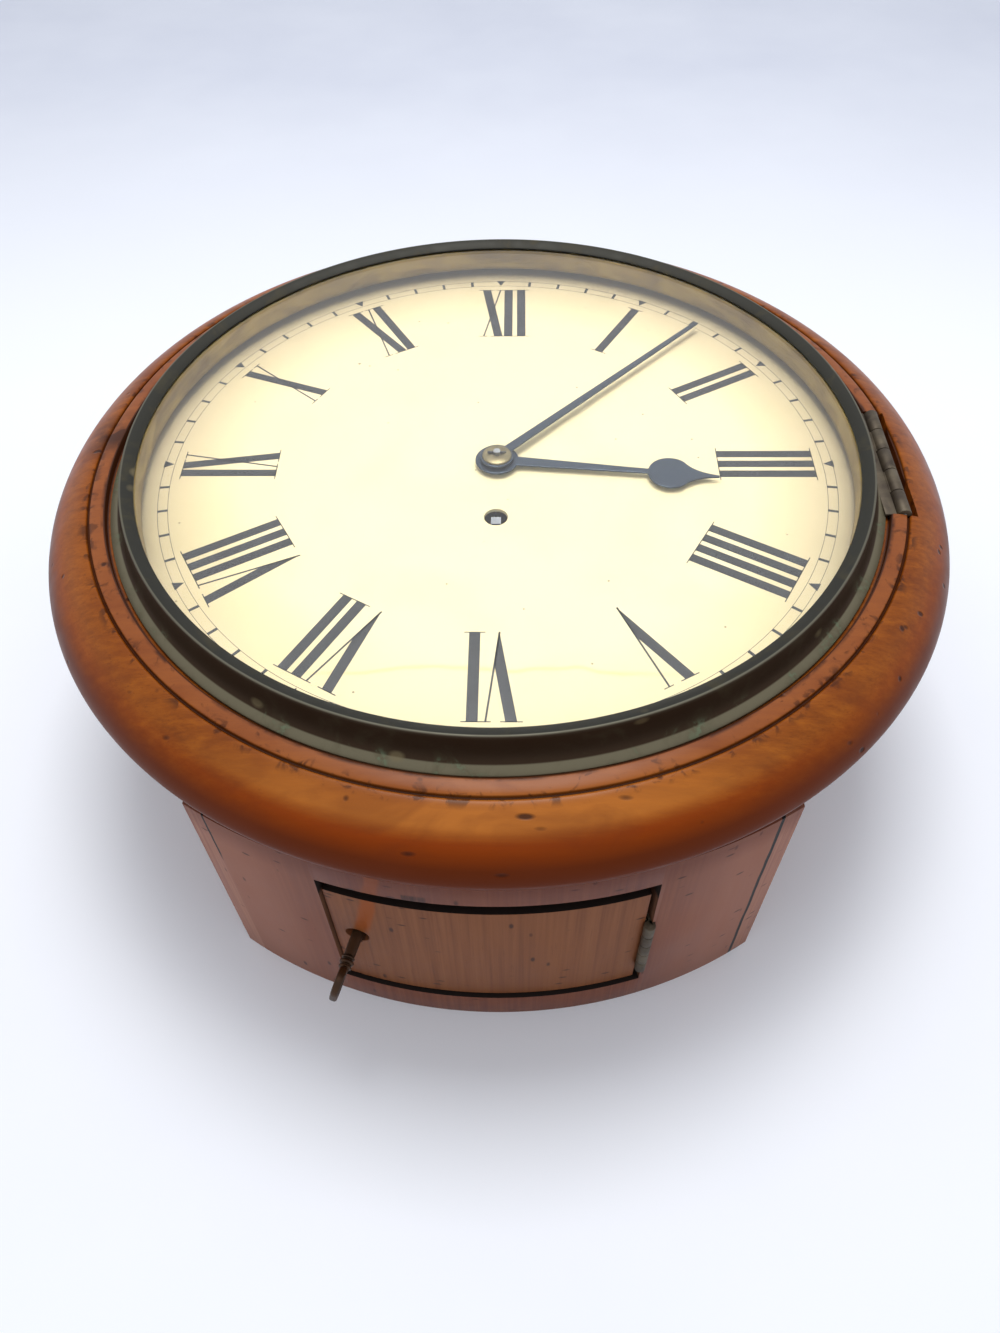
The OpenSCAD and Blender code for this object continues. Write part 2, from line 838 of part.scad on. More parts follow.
// One leaf of the door hinge on the side sx of the gap
module door_hinge_half(sx, which) {
    x0 = min(sx * 0.3, sx * (0.3 + door_leaf_t));
    color(old_brass_c)
        at_bottom(door_hinge_a)
            difference() {
                union() {
                    door_knuckles(which);
                    block([x0, -door_axis_r + door_knuckle_r + 0.3, door_hinge_z],
                          [x0 + door_leaf_t, -door_leaf_in, door_hinge_z + door_hinge_len]);
                    for (i = which)
                        block([x0, -door_axis_r,
                               door_hinge_z + i * door_knuckle_pitch + knuckle_gap / 2],
                              [x0 + door_leaf_t, -door_leaf_in,
                               door_hinge_z + (i + 1) * door_knuckle_pitch - knuckle_gap / 2]);
                }
                translate([0, -door_axis_r, 0])
                    rod(door_pin_r + run, door_hinge_z - eps, door_hinge_z + door_hinge_len + eps);
            }
}

module door_leaf() {
    door_hinge_half(-1, [1, 3]);
}

module jamb_leaf() {
    door_hinge_half(1, [0, 2, 4]);
}

module door_hinge_pin() {
    color(old_brass_c)
        at_bottom(door_hinge_a)
            translate([0, -door_axis_r, 0])
                rod(door_pin_r, door_hinge_z, door_hinge_z + door_hinge_len);
}

// Lock case behind the door, bored for the plug
module lock_case() {
    color(old_brass_c)
        at_bottom(key_a)
            translate([0, 0, key_z])
                difference() {
                    block([-lock_half, -lock_out_r, -lock_half], [lock_half, -lock_in_r, lock_half]);
                    rod_y(plug_r + run, -lock_out_r + lock_wall, -lock_in_r + eps);
                    rod_y(key_stem_r + slide, -lock_out_r - eps, -lock_in_r);
                    block([-bit_half - slide, -lock_out_r - eps, -bit_r - slide],
                          [bit_half + slide, -lock_in_r, 0]);
                }
}

// Plug that the key turns, with a tongue whose foot goes behind the jamb; drawn unlocked
module lock_tongue() {
    color(steel_c)
        at_bottom(key_a)
            translate([0, 0, key_z])
                difference() {
                    union() {
                        rod_y(plug_r, -lock_out_r + lock_wall + slide, -tongue_in_r);
                        block([-tongue_w / 2, -tongue_out_r, 0], [tongue_w / 2, -tongue_in_r, tongue_len]);
                        block([-tongue_w / 2, -tongue_reach, tongue_foot],
                              [tongue_w / 2, -tongue_in_r, tongue_len]);
                    }
                    rod_y(key_stem_r + run, -lock_out_r, -lock_in_r - lock_wall);
                    block([-bit_half - run, -lock_out_r, -bit_r - run],
                          [bit_half + run, -lock_in_r - lock_wall, 0]);
                }
}

// Key standing in the lock, with its bit down
module door_key() {
    stem_end = arc_r + key_stem_out;
    bow_mid = stem_end + bow_len / 2 - 1;
    bow_r = bow_len / 2;
    color(iron_c)
        at_bottom(key_a)
            translate([0, 0, key_z]) {
                difference() {
                    union() {
                        rod_y(key_stem_r, -stem_end, -lock_in_r - lock_wall - 0.6);
                        rod_y(key_stem_r + 0.8, -arc_r - 8.6, -arc_r - 7.2);
                        rod_y(key_stem_r + 1, -arc_r - 11.4, -arc_r - 9.4);
                        rod_y(key_stem_r + 0.8, -stem_end, -stem_end + 1.4);
                    }
                    rod_y(key_stem_r - 0.9, -lock_in_r - lock_wall - 6, -lock_in_r);
                }
                block([-bit_half, -lock_out_r + lock_wall + 0.5, -bit_r],
                      [bit_half, -lock_in_r - lock_wall - 0.6, -key_stem_r + 0.4]);
                translate([-bow_t / 2, -bow_mid, 0])
                    rotate([90, 0, 90])
                        linear_extrude(bow_t)
                            difference() {
                                bow_outline(bow_r, 0);
                                bow_outline(bow_r, 2.4);
                            }
            }
}

// Oval of the bow, drawn in by a margin
module bow_outline(r, margin) {
    reach = bow_w / 2 - r;
    for (s = [-1, 1])
        translate([0, s * reach])
            circle(r = r - margin);
    translate([-r + margin, -reach])
        square([2 * (r - margin), 2 * reach]);
}

// Brass bezel with its foot notched for the hinge
module bezel() {
    color(old_brass_c)
        difference() {
            rotate_extrude($fn = 180)
                bezel_section();
            translate([hinge_x, 0, hinge_z])
                rod_y(leaf_reach + 0.1, hinge_low_y - recess_gap, hinge_low_y + hinge_len + recess_gap);
        }
}

// Gilt ring inside the bezel, with a flange under the glass and one on the foot
module sight_ring() {
    color(gold_c)
        rotate_extrude($fn = 180)
            polygon([
                [sight_r, dial_z + sight_up], [sight_r + sight_t, dial_z + sight_up],
                [sight_r + sight_t, foot_z + slide], [foot_inner_r - 0.1, foot_z + slide],
                [foot_inner_r - 0.1, foot_z + slide + flange_t],
                [sight_r + sight_t, foot_z + slide + flange_t],
                [sight_r + sight_t, glass_z - flange_t], [glass_r, glass_z - flange_t],
                [glass_r, glass_z], [sight_r, glass_z]
            ]);
}

module glass() {
    color(glass_c, 0.35)
        translate([0, 0, glass_z])
            cylinder(r = glass_r, h = glass_t, $fn = 180);
}

// Knuckles along Y of the bezel hinge, numbered from 0 at the lower end
module bezel_knuckles(which) {
    translate([hinge_x, 0, hinge_z])
        for (i = which)
            rod_y(knuckle_r, hinge_low_y + i * knuckle_pitch + knuckle_gap / 2,
                  hinge_low_y + (i + 1) * knuckle_pitch - knuckle_gap / 2);
}

// Bore of the bezel hinge
module hinge_bore() {
    translate([hinge_x, 0, hinge_z])
        rod_y(hinge_pin_r + run, hinge_low_y - eps, hinge_low_y + hinge_len + eps);
}

// Leaf soldered to the bezel's foot, with two knuckles
module bezel_leaf() {
    color(old_brass_c)
        difference() {
            union() {
                block([hinge_x - leaf_w, hinge_low_y, leaf_z],
                      [hinge_x - leaf_reach, hinge_low_y + hinge_len, leaf_z + leaf_t]);
                bezel_knuckles([1, 3]);
                for (i = [1, 3])
                    block([hinge_x - leaf_reach - 0.1,
                           hinge_low_y + i * knuckle_pitch + knuckle_gap / 2, hinge_z - leaf_t],
                          [hinge_x, hinge_low_y + (i + 1) * knuckle_pitch - knuckle_gap / 2,
                           leaf_z + leaf_t]);
            }
            hinge_bore();
            rotate_extrude($fn = 180)
                polygon(concat([[0, foot_z]], bezel_outside(), [[0, bezel_z]]));
        }
}

// Leaf let into the wood, with three knuckles
module surround_leaf() {
    color(old_brass_c)
        difference() {
            union() {
                block([rebate_r + 0.4, hinge_low_y, hinge_leaf_low],
                      [hinge_x + knuckle_r, hinge_low_y + hinge_len, hinge_leaf_top]);
                bezel_knuckles([0, 2, 4]);
                for (i = [0, 2, 4])
                    block([hinge_x, hinge_low_y + i * knuckle_pitch + knuckle_gap / 2, hinge_leaf_low],
                          [hinge_x + knuckle_r, hinge_low_y + (i + 1) * knuckle_pitch - knuckle_gap / 2,
                           hinge_z]);
            }
            hinge_bore();
        }
}

module bezel_hinge_pin() {
    color(old_brass_c)
        translate([hinge_x, 0, hinge_z])
            rod_y(hinge_pin_r, hinge_low_y, hinge_low_y + hinge_len);
}

// Spring tongue under the bezel's foot that grips the wood at nine o'clock
module bezel_catch() {
    color(brass_c)
        block([-foot_r + 0.5, -6, foot_z - catch_h], [-foot_r + 1.8, 6, foot_z]);
}

// Painted iron dial
module dial() {
    color(cream_c)
        difference() {
            translate([0, 0, dial_back_z])
                cylinder(r = dial_r, h = dial_t, $fn = 180);
            rod(dial_centre_hole_r, dial_back_z - eps, dial_z + eps);
            translate([0, fusee_y, 0])
                rod(winding_hole_r, dial_back_z - eps, dial_z + eps);
            dial_screw_places()
                wood_screw(snug);
        }
}

// Places of the taper pins through the dial feet, behind the front plate
module foot_pin_places() {
    for (p = dial_foot_at)
        translate([p[0], p[1], front_z0 - taper_pin_r - snug])
            children();
}

// Places of the taper pins through the pillars, in front of the front plate
module pillar_pin_places() {
    for (p = pillar_at)
        translate([p[0], p[1], front_z1 + taper_pin_r + snug])
            children();
}

// Feet riveted behind the dial, with tenons through the front plate
module dial_feet() {
    color(brass_c)
        difference() {
            for (p = dial_foot_at)
                translate([p[0], p[1], 0]) {
                    rod(dial_foot_r, front_z1, dial_back_z);
                    rod(tenon_r, front_z0 - pin_out, front_z1);
                }
            foot_pin_places()
                rod_x(taper_pin_r + snug, 2 * tenon_r + 2 * eps);
        }
}

module taper_pins() {
    color(steel_c) {
        foot_pin_places()
            rod_x(taper_pin_r, taper_pin_len);
        pillar_pin_places()
            rod_x(taper_pin_r, taper_pin_len);
    }
}

// Right half of the hour hand's outline, from the shaft's foot to the tip
function hour_half() = concat(
    [[1.4, spade_at - sqrt(spade_r * spade_r - 1.96)]],
    [for (a = [-75 : 7.5 : 37.5]) [spade_r * cos(a), spade_at + spade_r * sin(a)]],
    [for (t = [0.2 : 0.2 : 1])
        bend([spade_r * 0.78, spade_at + spade_r * 0.62], [1.6, spade_at + spade_r + 0.5],
             [0.5, hour_len], t)]
);

// Blued steel hour hand with a spade disc
module hour_hand() {
    half = hour_half();
    last = len(half) - 1;
    color(blue_c)
        rotate([0, 0, -hour_angle])
            translate([0, 0, hour_hand_z])
                linear_extrude(hand_t)
                    difference() {
                        polygon(concat(
                            boss_outline(hour_boss_r, 2.75),
                            half,
                            [for (i = [last : -1 : 0]) [-half[i][0], half[i][1]]]
                        ));
                        circle(r = hour_pipe_r + snug);
                    }
}

// Blued steel minute hand
module minute_hand() {
    color(blue_c)
        rotate([0, 0, -minute_angle])
            translate([0, 0, minute_hand_z])
                linear_extrude(hand_t)
                    difference() {
                        polygon(concat(boss_outline(minute_boss_r, 2.15),
                                       [[1.1, minute_len], [-1.1, minute_len]]));
                        circle(r = hand_seat_r + snug);
                    }
}

// Domed brass collet over the minute hand
module hand_collet() {
    color(brass_c)
        translate([0, 0, collet_z])
            rotate_extrude()
                polygon(concat(
                    [[centre_front_r + 0.1, 0], [collet_r, 0], [collet_r, 0.25]],
                    [for (a = [15 : 15 : 90])
                        [centre_front_r + 0.1 + (collet_r - centre_front_r - 0.1) * cos(a),
                         0.25 + 0.95 * sin(a)]]
                ));
}

module hand_pin() {
    color(steel_c)
        translate([0, 0, pin_z])
            rod_x(hand_pin_r, 8);
}

// Cannon wheel on its long pipe, which carries the minute hand
module cannon_wheel() {
    color(brass_c)
        difference() {
            union() {
                gear(cannon_n, cannon_m, wheel_tooth, cannon_z, wheel_t);
                rod(cannon_pipe_r, cannon_z, minute_hand_z);
                rod(hand_seat_r, minute_hand_z, collet_z);
            }
            rod(centre_front_r + run, cannon_z - eps, collet_z + eps);
        }
}

// Minute wheel with its pinion, on the post
module minute_wheel() {
    color(brass_c)
        translate([motion_at[0], motion_at[1], 0])
            difference() {
                union() {
                    rotate([0, 0, 45 + 180 + 180 / cannon_n])
                        gear(cannon_n, cannon_m, wheel_tooth, cannon_z, wheel_t);
                    rotate([0, 0, 45 + 180 + 180 / minute_pinion_n])
                        gear(minute_pinion_n, hour_m, pinion_leaf, cannon_z, wheel_t + 4.5);
                }
                rod(post_r + run, cannon_z - eps, cannon_z + 7);
            }
}

// Hour wheel and its pipe around the cannon pipe
module hour_wheel() {
    color(brass_c)
        difference() {
            union() {
                rotate([0, 0, 45])
                    crossed_wheel(hour_n, hour_m, hour_wheel_z, wheel_t, 7, 0);
                rod(hour_pipe_r, hour_wheel_z, hour_hand_z + hand_t);
            }
            rod(cannon_pipe_r + run, hour_wheel_z - eps, hour_hand_z + hand_t + eps);
        }
}

// Post riveted in the front plate for the minute wheel
module minute_post() {
    color(steel_c)
        translate([motion_at[0], motion_at[1], 0]) {
            rod(2.5, front_z1, cannon_z - slide);
            rod(post_r, front_z0, cannon_z + 6.4);
        }
}

// Outline shared by both movement plates, small enough to pass the surround's bore
module plate_blank(z0) {
    translate([0, 0, z0])
        linear_extrude(plate_t)
            polygon([[plate_left, plate_low], [plate_right, plate_low],
                     [plate_right, plate_high - plate_cut], [plate_right - plate_cut, plate_high],
                     [plate_left + plate_cut, plate_high], [plate_left, plate_high - plate_cut]]);
}

// Hole through the plates at a place
module hole_at(p, r) {
    translate([p[0], p[1], 0])
        rod(r, back_z0 - eps, front_z1 + eps);
}

module front_plate() {
    color(brass_c)
        difference() {
            plate_blank(front_z0);
            hole_at([0, 0], centre_front_r + run);
            hole_at([0, fusee_y], fusee_pivot_r + run);
            hole_at(third_at, pivot_r + run);
            hole_at([0, escape_y], pivot_r + run);
            hole_at([0, pallet_y], pivot_r + run);
            hole_at(barrel_at, barrel_pivot_r + run);
            hole_at(motion_at, post_r + snug);
            hole_at(barrel_at + [15.5, 0], pivot_r + snug);
            for (p = concat(dial_foot_at, pillar_at))
                hole_at(p, tenon_r + snug);
        }
}

module back_plate() {
    color(brass_c)
        difference() {
            plate_blank(back_z0);
            for (p = [[0, 0], third_at, [0, escape_y]])
                hole_at(p, pivot_r + run);
            hole_at([0, fusee_y], 2 + run);
            hole_at([0, pallet_y], pallet_arbor_r + run);
            hole_at(barrel_at, barrel_pivot_r + run);
            for (p = pillar_at)
                hole_at(p, tenon_r + snug);
        }
}

// Pillars riveted in the back plate and pinned in front of the front plate
module plate_pillars() {
    color(brass_c)
        difference() {
            for (p = pillar_at)
                translate([p[0], p[1], 0]) {
                    rod(pillar_r, back_z1, front_z0);
                    rod(tenon_r, back_z0, back_z1);
                    rod(tenon_r, front_z0, front_z1 + pin_out);
                }
            pillar_pin_places()
                rod_x(taper_pin_r + snug, 2 * tenon_r + 2 * eps);
        }
}

// Barrel around the mainspring
module spring_barrel() {
    color(brass_c)
        translate([barrel_at[0], barrel_at[1], 0])
            difference() {
                rod(barrel_r, barrel_z, barrel_z + barrel_len);
                rod(barrel_r - barrel_wall, barrel_z + barrel_wall, barrel_z + barrel_len - barrel_wall);
                rod(barrel_arbor_r + run, barrel_z - eps, barrel_z + barrel_len + eps);
            }
}

// Barrel arbor with its core for the spring and its square for the ratchet
module barrel_arbor() {
    color(steel_c)
        translate([barrel_at[0], barrel_at[1], 0]) {
            plain_arbor(barrel_arbor_r, barrel_pivot_r, barrel_pivot_r);
            rod(barrel_core_r, barrel_z + barrel_wall + slide,
                barrel_z + barrel_len - barrel_wall - slide);
            block([-ratchet_square / 2, -ratchet_square / 2, front_z1 + 0.1],
                  [ratchet_square / 2, ratchet_square / 2, front_z1 + 5]);
        }
}

// Mainspring, a flat spiral from the arbor to the barrel's wall
module mainspring() {
    turns = 9;
    t = 0.5;
    r0 = barrel_core_r + 0.1;
    grow = (barrel_r - barrel_wall - 0.2 - t - r0) / turns;
    steps = turns * 20;
    color(blue_c)
        translate([barrel_at[0], barrel_at[1], barrel_z + barrel_wall + 1])
            linear_extrude(barrel_len - 2 * barrel_wall - 2)
                polygon(concat(
                    [for (i = [0 : steps]) (r0 + grow * i / 20) * [cos(18 * i), sin(18 * i)]],
                    [for (i = [steps : -1 : 0]) (r0 + t + grow * i / 20) * [cos(18 * i), sin(18 * i)]]
                ));
}

// Ratchet that holds the barrel arbor's set-up
module setup_ratchet() {
    teeth = 16;
    color(steel_c)
        translate([barrel_at[0], barrel_at[1], front_z1 + 0.3])
            linear_extrude(2.4)
                difference() {
                    polygon([for (i = [0 : teeth - 1], k = [0, 0.85])
                        (k == 0 ? 8.2 : 10) * [cos((i + k) * 360 / teeth), sin((i + k) * 360 / teeth)]]);
                    square(ratchet_square + 0.1, center = true);
                }
}

// Click that holds the ratchet, on its own stud
module setup_click() {
    color(steel_c)
        translate([barrel_at[0] + 15.5, barrel_at[1], 0]) {
            rod(pivot_r, front_z0, front_z1 + 0.3);
            rod(3, front_z1 + 0.3, front_z1 + 2.7);
            block([-5.2, -1.2, front_z1 + 0.3], [0, 1, front_z1 + 2.7]);
        }
}

// Great wheel, free on the fusee arbor
module great_wheel() {
    color(brass_c)
        translate([0, fusee_y, 0])
            difference() {
                rotate([0, 0, 90])
                    gear(great_n, great_m, wheel_tooth, great_wheel_z, great_t);
                rod(fusee_arbor_r + run, great_wheel_z - eps, great_wheel_z + great_t + eps);
            }
}

// Fusee: a grooved cone that narrows towards the dial
module fusee() {
    pitch = fusee_len / fusee_turns;
    groove = 0.5;
    color(brass_c)
        translate([0, fusee_y, fusee_z])
            rotate_extrude()
                polygon(concat(
                    [[fusee_arbor_r + snug, 0], [fusee_big_r, 0]],
                    [for (i = [0 : fusee_turns - 1], k = [0.2, 0.5, 0.8])
                        [fusee_radius((i + k) / fusee_turns) - (k == 0.5 ? groove : 0), (i + k) * pitch]],
                    [[fusee_small_r, fusee_len], [fusee_arbor_r + snug, fusee_len]]
                ));
}

// Radius of the fusee at a share of its length
function fusee_radius(s) = fusee_small_r * fusee_big_r / (fusee_small_r + (fusee_big_r - fusee_small_r) * s);

// Fusee arbor with the winding square behind the dial's hole
module fusee_arbor() {
    color(steel_c)
        translate([0, fusee_y, 0]) {
            plain_arbor(fusee_arbor_r, 2, fusee_pivot_r);
            block([-square_w / 2, -square_w / 2, front_z1],
                  [square_w / 2, square_w / 2, dial_back_z - 0.4]);
        }
}

// Straight run of the gut line, from the fusee's small end to the barrel
module fusee_line() {
    from_r = fusee_radius(0.94) + line_r + 0.1;
    to_r = barrel_r + line_r + 0.1;
    span = barrel_at - [0, fusee_y];
    dist = norm(span);
    dir = atan2(span[1], span[0]);
    lean = asin((to_r - from_r) / dist);
    color(gut_c)
        translate([0, fusee_y, fusee_z + 0.94 * fusee_len])
            rotate([0, 0, dir])
                translate([-from_r * sin(lean), from_r * cos(lean), 0])
                    rotate([0, 0, lean])
                        rotate([0, 90, 0])
                            cylinder(r = line_r, h = dist * cos(lean));
}

// Centre arbor, with its pinion and its long front end for the hands
module centre_arbor() {
    color(steel_c)
        difference() {
            union() {
                plain_arbor(centre_arbor_r, pivot_r, centre_front_r);
                rotate([0, 0, 270 + 180 / centre_pinion_n])
                    gear(centre_pinion_n, great_m, pinion_leaf, great_wheel_z - 1, 5);
                rod(centre_front_r, front_z1, pin_z + 0.9);
            }
            translate([0, 0, pin_z])
                rod_x(hand_pin_r + snug, 4 * centre_front_r);
        }
}

module centre_wheel() {
    color(brass_c)
        rotate([0, 0, third_dir])
            crossed_wheel(centre_n, centre_m, centre_wheel_z, wheel_t, 5, centre_arbor_r + snug);
}

// Third wheel with its arbor and pinion
module third_wheel() {
    color(brass_c)
        translate([third_at[0], third_at[1], 0]) {
            plain_arbor(third_arbor_r, pivot_r, pivot_r);
            rotate([0, 0, third_dir + 180 + 180 / third_pinion_n])
                gear(third_pinion_n, centre_m, pinion_leaf, centre_wheel_z - 1.2, 4.5);
            rotate([0, 0, third_to_escape()])
                crossed_wheel(third_n, third_m, third_wheel_z, wheel_t, 5, 0);
        }
}

// Direction from the third arbor to the escape arbor
function third_to_escape() = atan2(escape_y - third_at[1], -third_at[0]);

// Escape wheel with its arbor and pinion
module escape_wheel() {
    step = 360 / escape_n;
    color(brass_c)
        translate([0, escape_y, 0]) {
            plain_arbor(escape_arbor_r, pivot_r, pivot_r);
            rotate([0, 0, third_to_escape() + 180 + 180 / escape_pinion_n])
                gear(escape_pinion_n, third_m, pinion_leaf, third_wheel_z - 4, 10);
            translate([0, 0, escape_wheel_z])
                linear_extrude(wheel_t)
                    difference() {
                        polygon([for (i = [0 : escape_n - 1], k = [0, 0.06, 0.55])
                            (k == 0.55 ? escape_r - 3 : escape_r)
                                * [cos((i + k) * step), sin((i + k) * step)]]);
                        spoke_gaps(4, escape_r - 4.6, 5, 1.6);
                    }
        }
}

// Anchor with two pallets astride the escape wheel
module pallets() {
    half = [[4.2, 3.6], [12, 0], [18.4, -9.5], [19.4, -18.5], [16.6, -20.8], [15.8, -18],
            [14.2, -11.5], [9, -5.2]];
    color(steel_c)
        translate([0, pallet_y, escape_wheel_z - 1])
            linear_extrude(wheel_t + 2)
                difference() {
                    polygon(concat(half, [[0, -3.6]], [for (i = [7 : -1 : 0]) [-half[i][0], half[i][1]]]));
                    circle(r = pallet_arbor_r + snug);
                }
}

// Pallet arbor with the crutch that leads the pendulum
module crutch() {
    z0 = back_z0 - crutch_t - eps;
    z1 = z0 + crutch_t;
    prong_x = rod_r + 0.4;
    prong_out = prong_x + fork_t;
    fork_y = -crutch_len - fork_h;
    color(steel_c)
        translate([0, pallet_y, 0]) {
            rod(pivot_r, front_z0 - shoulder, front_z1 + 0.2);
            rod(pallet_arbor_r, z0, front_z0 - shoulder);
            rod(3.4, z0, z1);
            block([-2, -crutch_len, z0], [2, 0, z1]);
            for (sx = [-1, 1])
                block([min(sx * prong_x, sx * prong_out), fork_y, pendulum_z - rod_block[2] / 2],
                      [max(sx * prong_x, sx * prong_out), -crutch_len, z1]);
            block([-prong_out, fork_y, z0], [prong_out, -crutch_len, z1]);
        }
}

// Cock behind the back plate, slit for the suspension spring
module back_cock() {
    color(brass_c)
        translate([0, pallet_y, 0])
            difference() {
                union() {
                    block([-14, 8, back_z0 - 2.5], [14, 20, back_z0]);
                    block([-6, 0, pendulum_z - 6], [6, 20, back_z0 - 2.5]);
                }
                block([-spring_t / 2 - 0.25, -eps, pendulum_z - spring_w / 2 - slide],
                      [spring_t / 2 + 0.25, 3.4, pendulum_z + spring_w / 2 + slide]);
            }
}

// Thin steel strip that the pendulum hangs from
module suspension_spring() {
    color(blue_c)
        block([-spring_t / 2, rod_block_y + rod_block[1] - spring_lap, pendulum_z - spring_w / 2],
              [spring_t / 2, pallet_y + 3, pendulum_z + spring_w / 2]);
}

// Pendulum rod with its slit block at the top
module pendulum_rod() {
    color(steel_c)
        translate([0, 0, pendulum_z])
            difference() {
                union() {
                    rod_y(rod_r, rod_end_y, rod_block_y + 1);
                    translate([-rod_block[0] / 2, rod_block_y, -rod_block[2] / 2])
                        cube(rod_block);
                }
                block([-spring_t / 2 - snug, rod_block_y + rod_block[1] - spring_lap - slide,
                       -spring_w / 2 - snug],
                      [spring_t / 2 + snug, rod_block_y + rod_block[1] + eps, spring_w / 2 + snug]);
            }
}

// Brass lens that slides on the rod
module pendulum_bob() {
    edge = 1.5;
    color(brass_c)
        translate([0, bob_y, pendulum_z])
            difference() {
                rotate_extrude()
                    polygon(concat(
                        [for (x = [0 : 0.125 : 1]) [bob_r * x, edge + (bob_t / 2 - edge) * (1 - x * x)]],
                        [for (x = [1 : -0.125 : 0]) [bob_r * x, -edge - (bob_t / 2 - edge) * (1 - x * x)]]
                    ));
                rod_y(rod_r + snug, -bob_r - eps, bob_r + eps);
            }
}

// Knurled nut under the bob
module rating_nut() {
    color(brass_c)
        translate([0, nut_y, pendulum_z])
            rotate([-90, 0, 0])
                linear_extrude(nut_h)
                    difference() {
                        polygon([for (i = [0 : 39]) (i % 2 == 0 ? 5 : 4.6) * [cos(9 * i), sin(9 * i)]]);
                        circle(r = rod_r + snug);
                    }
}

surround();
surround_blocks();
case_side_left();
case_side_right();
case_top();
curved_bottom();
back_board();
case_pegs();
hanging_plate();
wood_screws();
door_stops();
bottom_door();
door_leaf();
jamb_leaf();
door_hinge_pin();
lock_case();
lock_tongue();
door_key();
bezel();
sight_ring();
glass();
bezel_leaf();
surround_leaf();
bezel_hinge_pin();
bezel_catch();
dial();
dial_feet();
taper_pins();
hour_hand();
minute_hand();
hand_collet();
hand_pin();
cannon_wheel();
minute_wheel();
hour_wheel();
minute_post();
front_plate();
back_plate();
plate_pillars();
spring_barrel();
barrel_arbor();
mainspring();
setup_ratchet();
setup_click();
great_wheel();
fusee();
fusee_arbor();
fusee_line();
centre_arbor();
centre_wheel();
third_wheel();
escape_wheel();
pallets();
crutch();
back_cock();
suspension_spring();
pendulum_rod();
pendulum_bob();
rating_nut();
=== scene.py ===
"""Dressed model of a wall dial clock that lies on its back on a pale floor.

Lengths in the classes are in millimetres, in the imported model's frame: +Z out of the dial, +Y to
twelve o'clock, +X to three o'clock, with the origin in the plane of the case's back. In the
finishes' graphs they are in metres, as the nodes read them, but places, bands and the depth of
relief are in millimetres there too. A band is given by its middle, half its width and how far it
fades.
"""

import json
import logging
import math
from dataclasses import dataclass, field
from enum import Enum
from typing import Iterable, Sequence

import bpy
from mathutils import Matrix, Vector

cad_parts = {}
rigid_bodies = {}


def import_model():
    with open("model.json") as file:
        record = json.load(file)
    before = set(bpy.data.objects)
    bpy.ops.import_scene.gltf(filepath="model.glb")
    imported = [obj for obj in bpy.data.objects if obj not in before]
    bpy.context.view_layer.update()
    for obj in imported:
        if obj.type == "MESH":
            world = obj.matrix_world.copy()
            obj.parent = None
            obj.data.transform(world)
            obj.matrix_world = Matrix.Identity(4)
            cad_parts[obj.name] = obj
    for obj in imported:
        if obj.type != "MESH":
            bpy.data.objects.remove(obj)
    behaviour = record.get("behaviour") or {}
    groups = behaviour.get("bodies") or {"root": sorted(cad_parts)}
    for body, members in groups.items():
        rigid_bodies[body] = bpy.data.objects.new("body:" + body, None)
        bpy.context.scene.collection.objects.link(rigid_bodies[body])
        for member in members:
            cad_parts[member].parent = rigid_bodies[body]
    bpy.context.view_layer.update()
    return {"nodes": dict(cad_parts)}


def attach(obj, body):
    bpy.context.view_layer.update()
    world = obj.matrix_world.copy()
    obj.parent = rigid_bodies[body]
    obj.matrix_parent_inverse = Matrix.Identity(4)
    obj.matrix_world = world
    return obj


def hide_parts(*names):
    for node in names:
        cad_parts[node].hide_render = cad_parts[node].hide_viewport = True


LOG = logging.getLogger("dial_clock")
MM = 0.001
WELD = 1e-6
FACE = 145.0

Pair = tuple[float, float]
Triple = tuple[float, float, float]
Colour = tuple[float, float, float, float]
Socket = bpy.types.NodeSocket
Piece = bpy.types.Object


def tint(code: str) -> Colour:
    """Turn a colour as it is seen into the linear one that a shader takes.

    Args:
        code: Six hexadecimal figures, red, green and blue.

    Returns:
        The linear colour with full opacity.
    """
    parts = [int(code[i : i + 2], 16) / 255 for i in (0, 2, 4)]
    red, green, blue = [p / 12.92 if p <= 0.04045 else ((p + 0.055) / 1.055) ** 2.4 for p in parts]
    return (red, green, blue, 1.0)


def bend(start: Pair, pull: Pair, end: Pair, steps: int) -> list[Pair]:
    """Points of a curve that is drawn towards a point.

    Args:
        start: Its first point.
        pull: The point that draws it.
        end: Its last point.
        steps: Number of its straight pieces.

    Returns:
        The points, both ends included.
    """
    shares = [i / steps for i in range(steps + 1)]
    return [
        tuple((1 - t) ** 2 * a + 2 * t * (1 - t) * b + t * t * c for a, b, c in zip(start, pull, end))
        for t in shares
    ]


def arc(centre: Pair, reach: Pair, first: float, last: float, steps: int) -> list[Pair]:
    """Points of an elliptic arc, from the first angle to the last, in degrees."""
    angles = [math.radians(first + (last - first) * i / steps) for i in range(steps + 1)]
    return [(centre[0] + reach[0] * math.cos(a), centre[1] + reach[1] * math.sin(a)) for a in angles]


def mirrored(half: Sequence[Pair]) -> list[Pair]:
    """Points of one side, then those of the other side back to the start."""
    return [*half, *[(-x, y) for x, y in reversed(half)]]


class Keep(Enum):
    """What a cut leaves of a piece."""

    OUTSIDE = "DIFFERENCE"
    INSIDE = "INTERSECT"


class Blend(Enum):
    """How one colour goes over another."""

    COVER = "MIX"
    SHADE = "MULTIPLY"


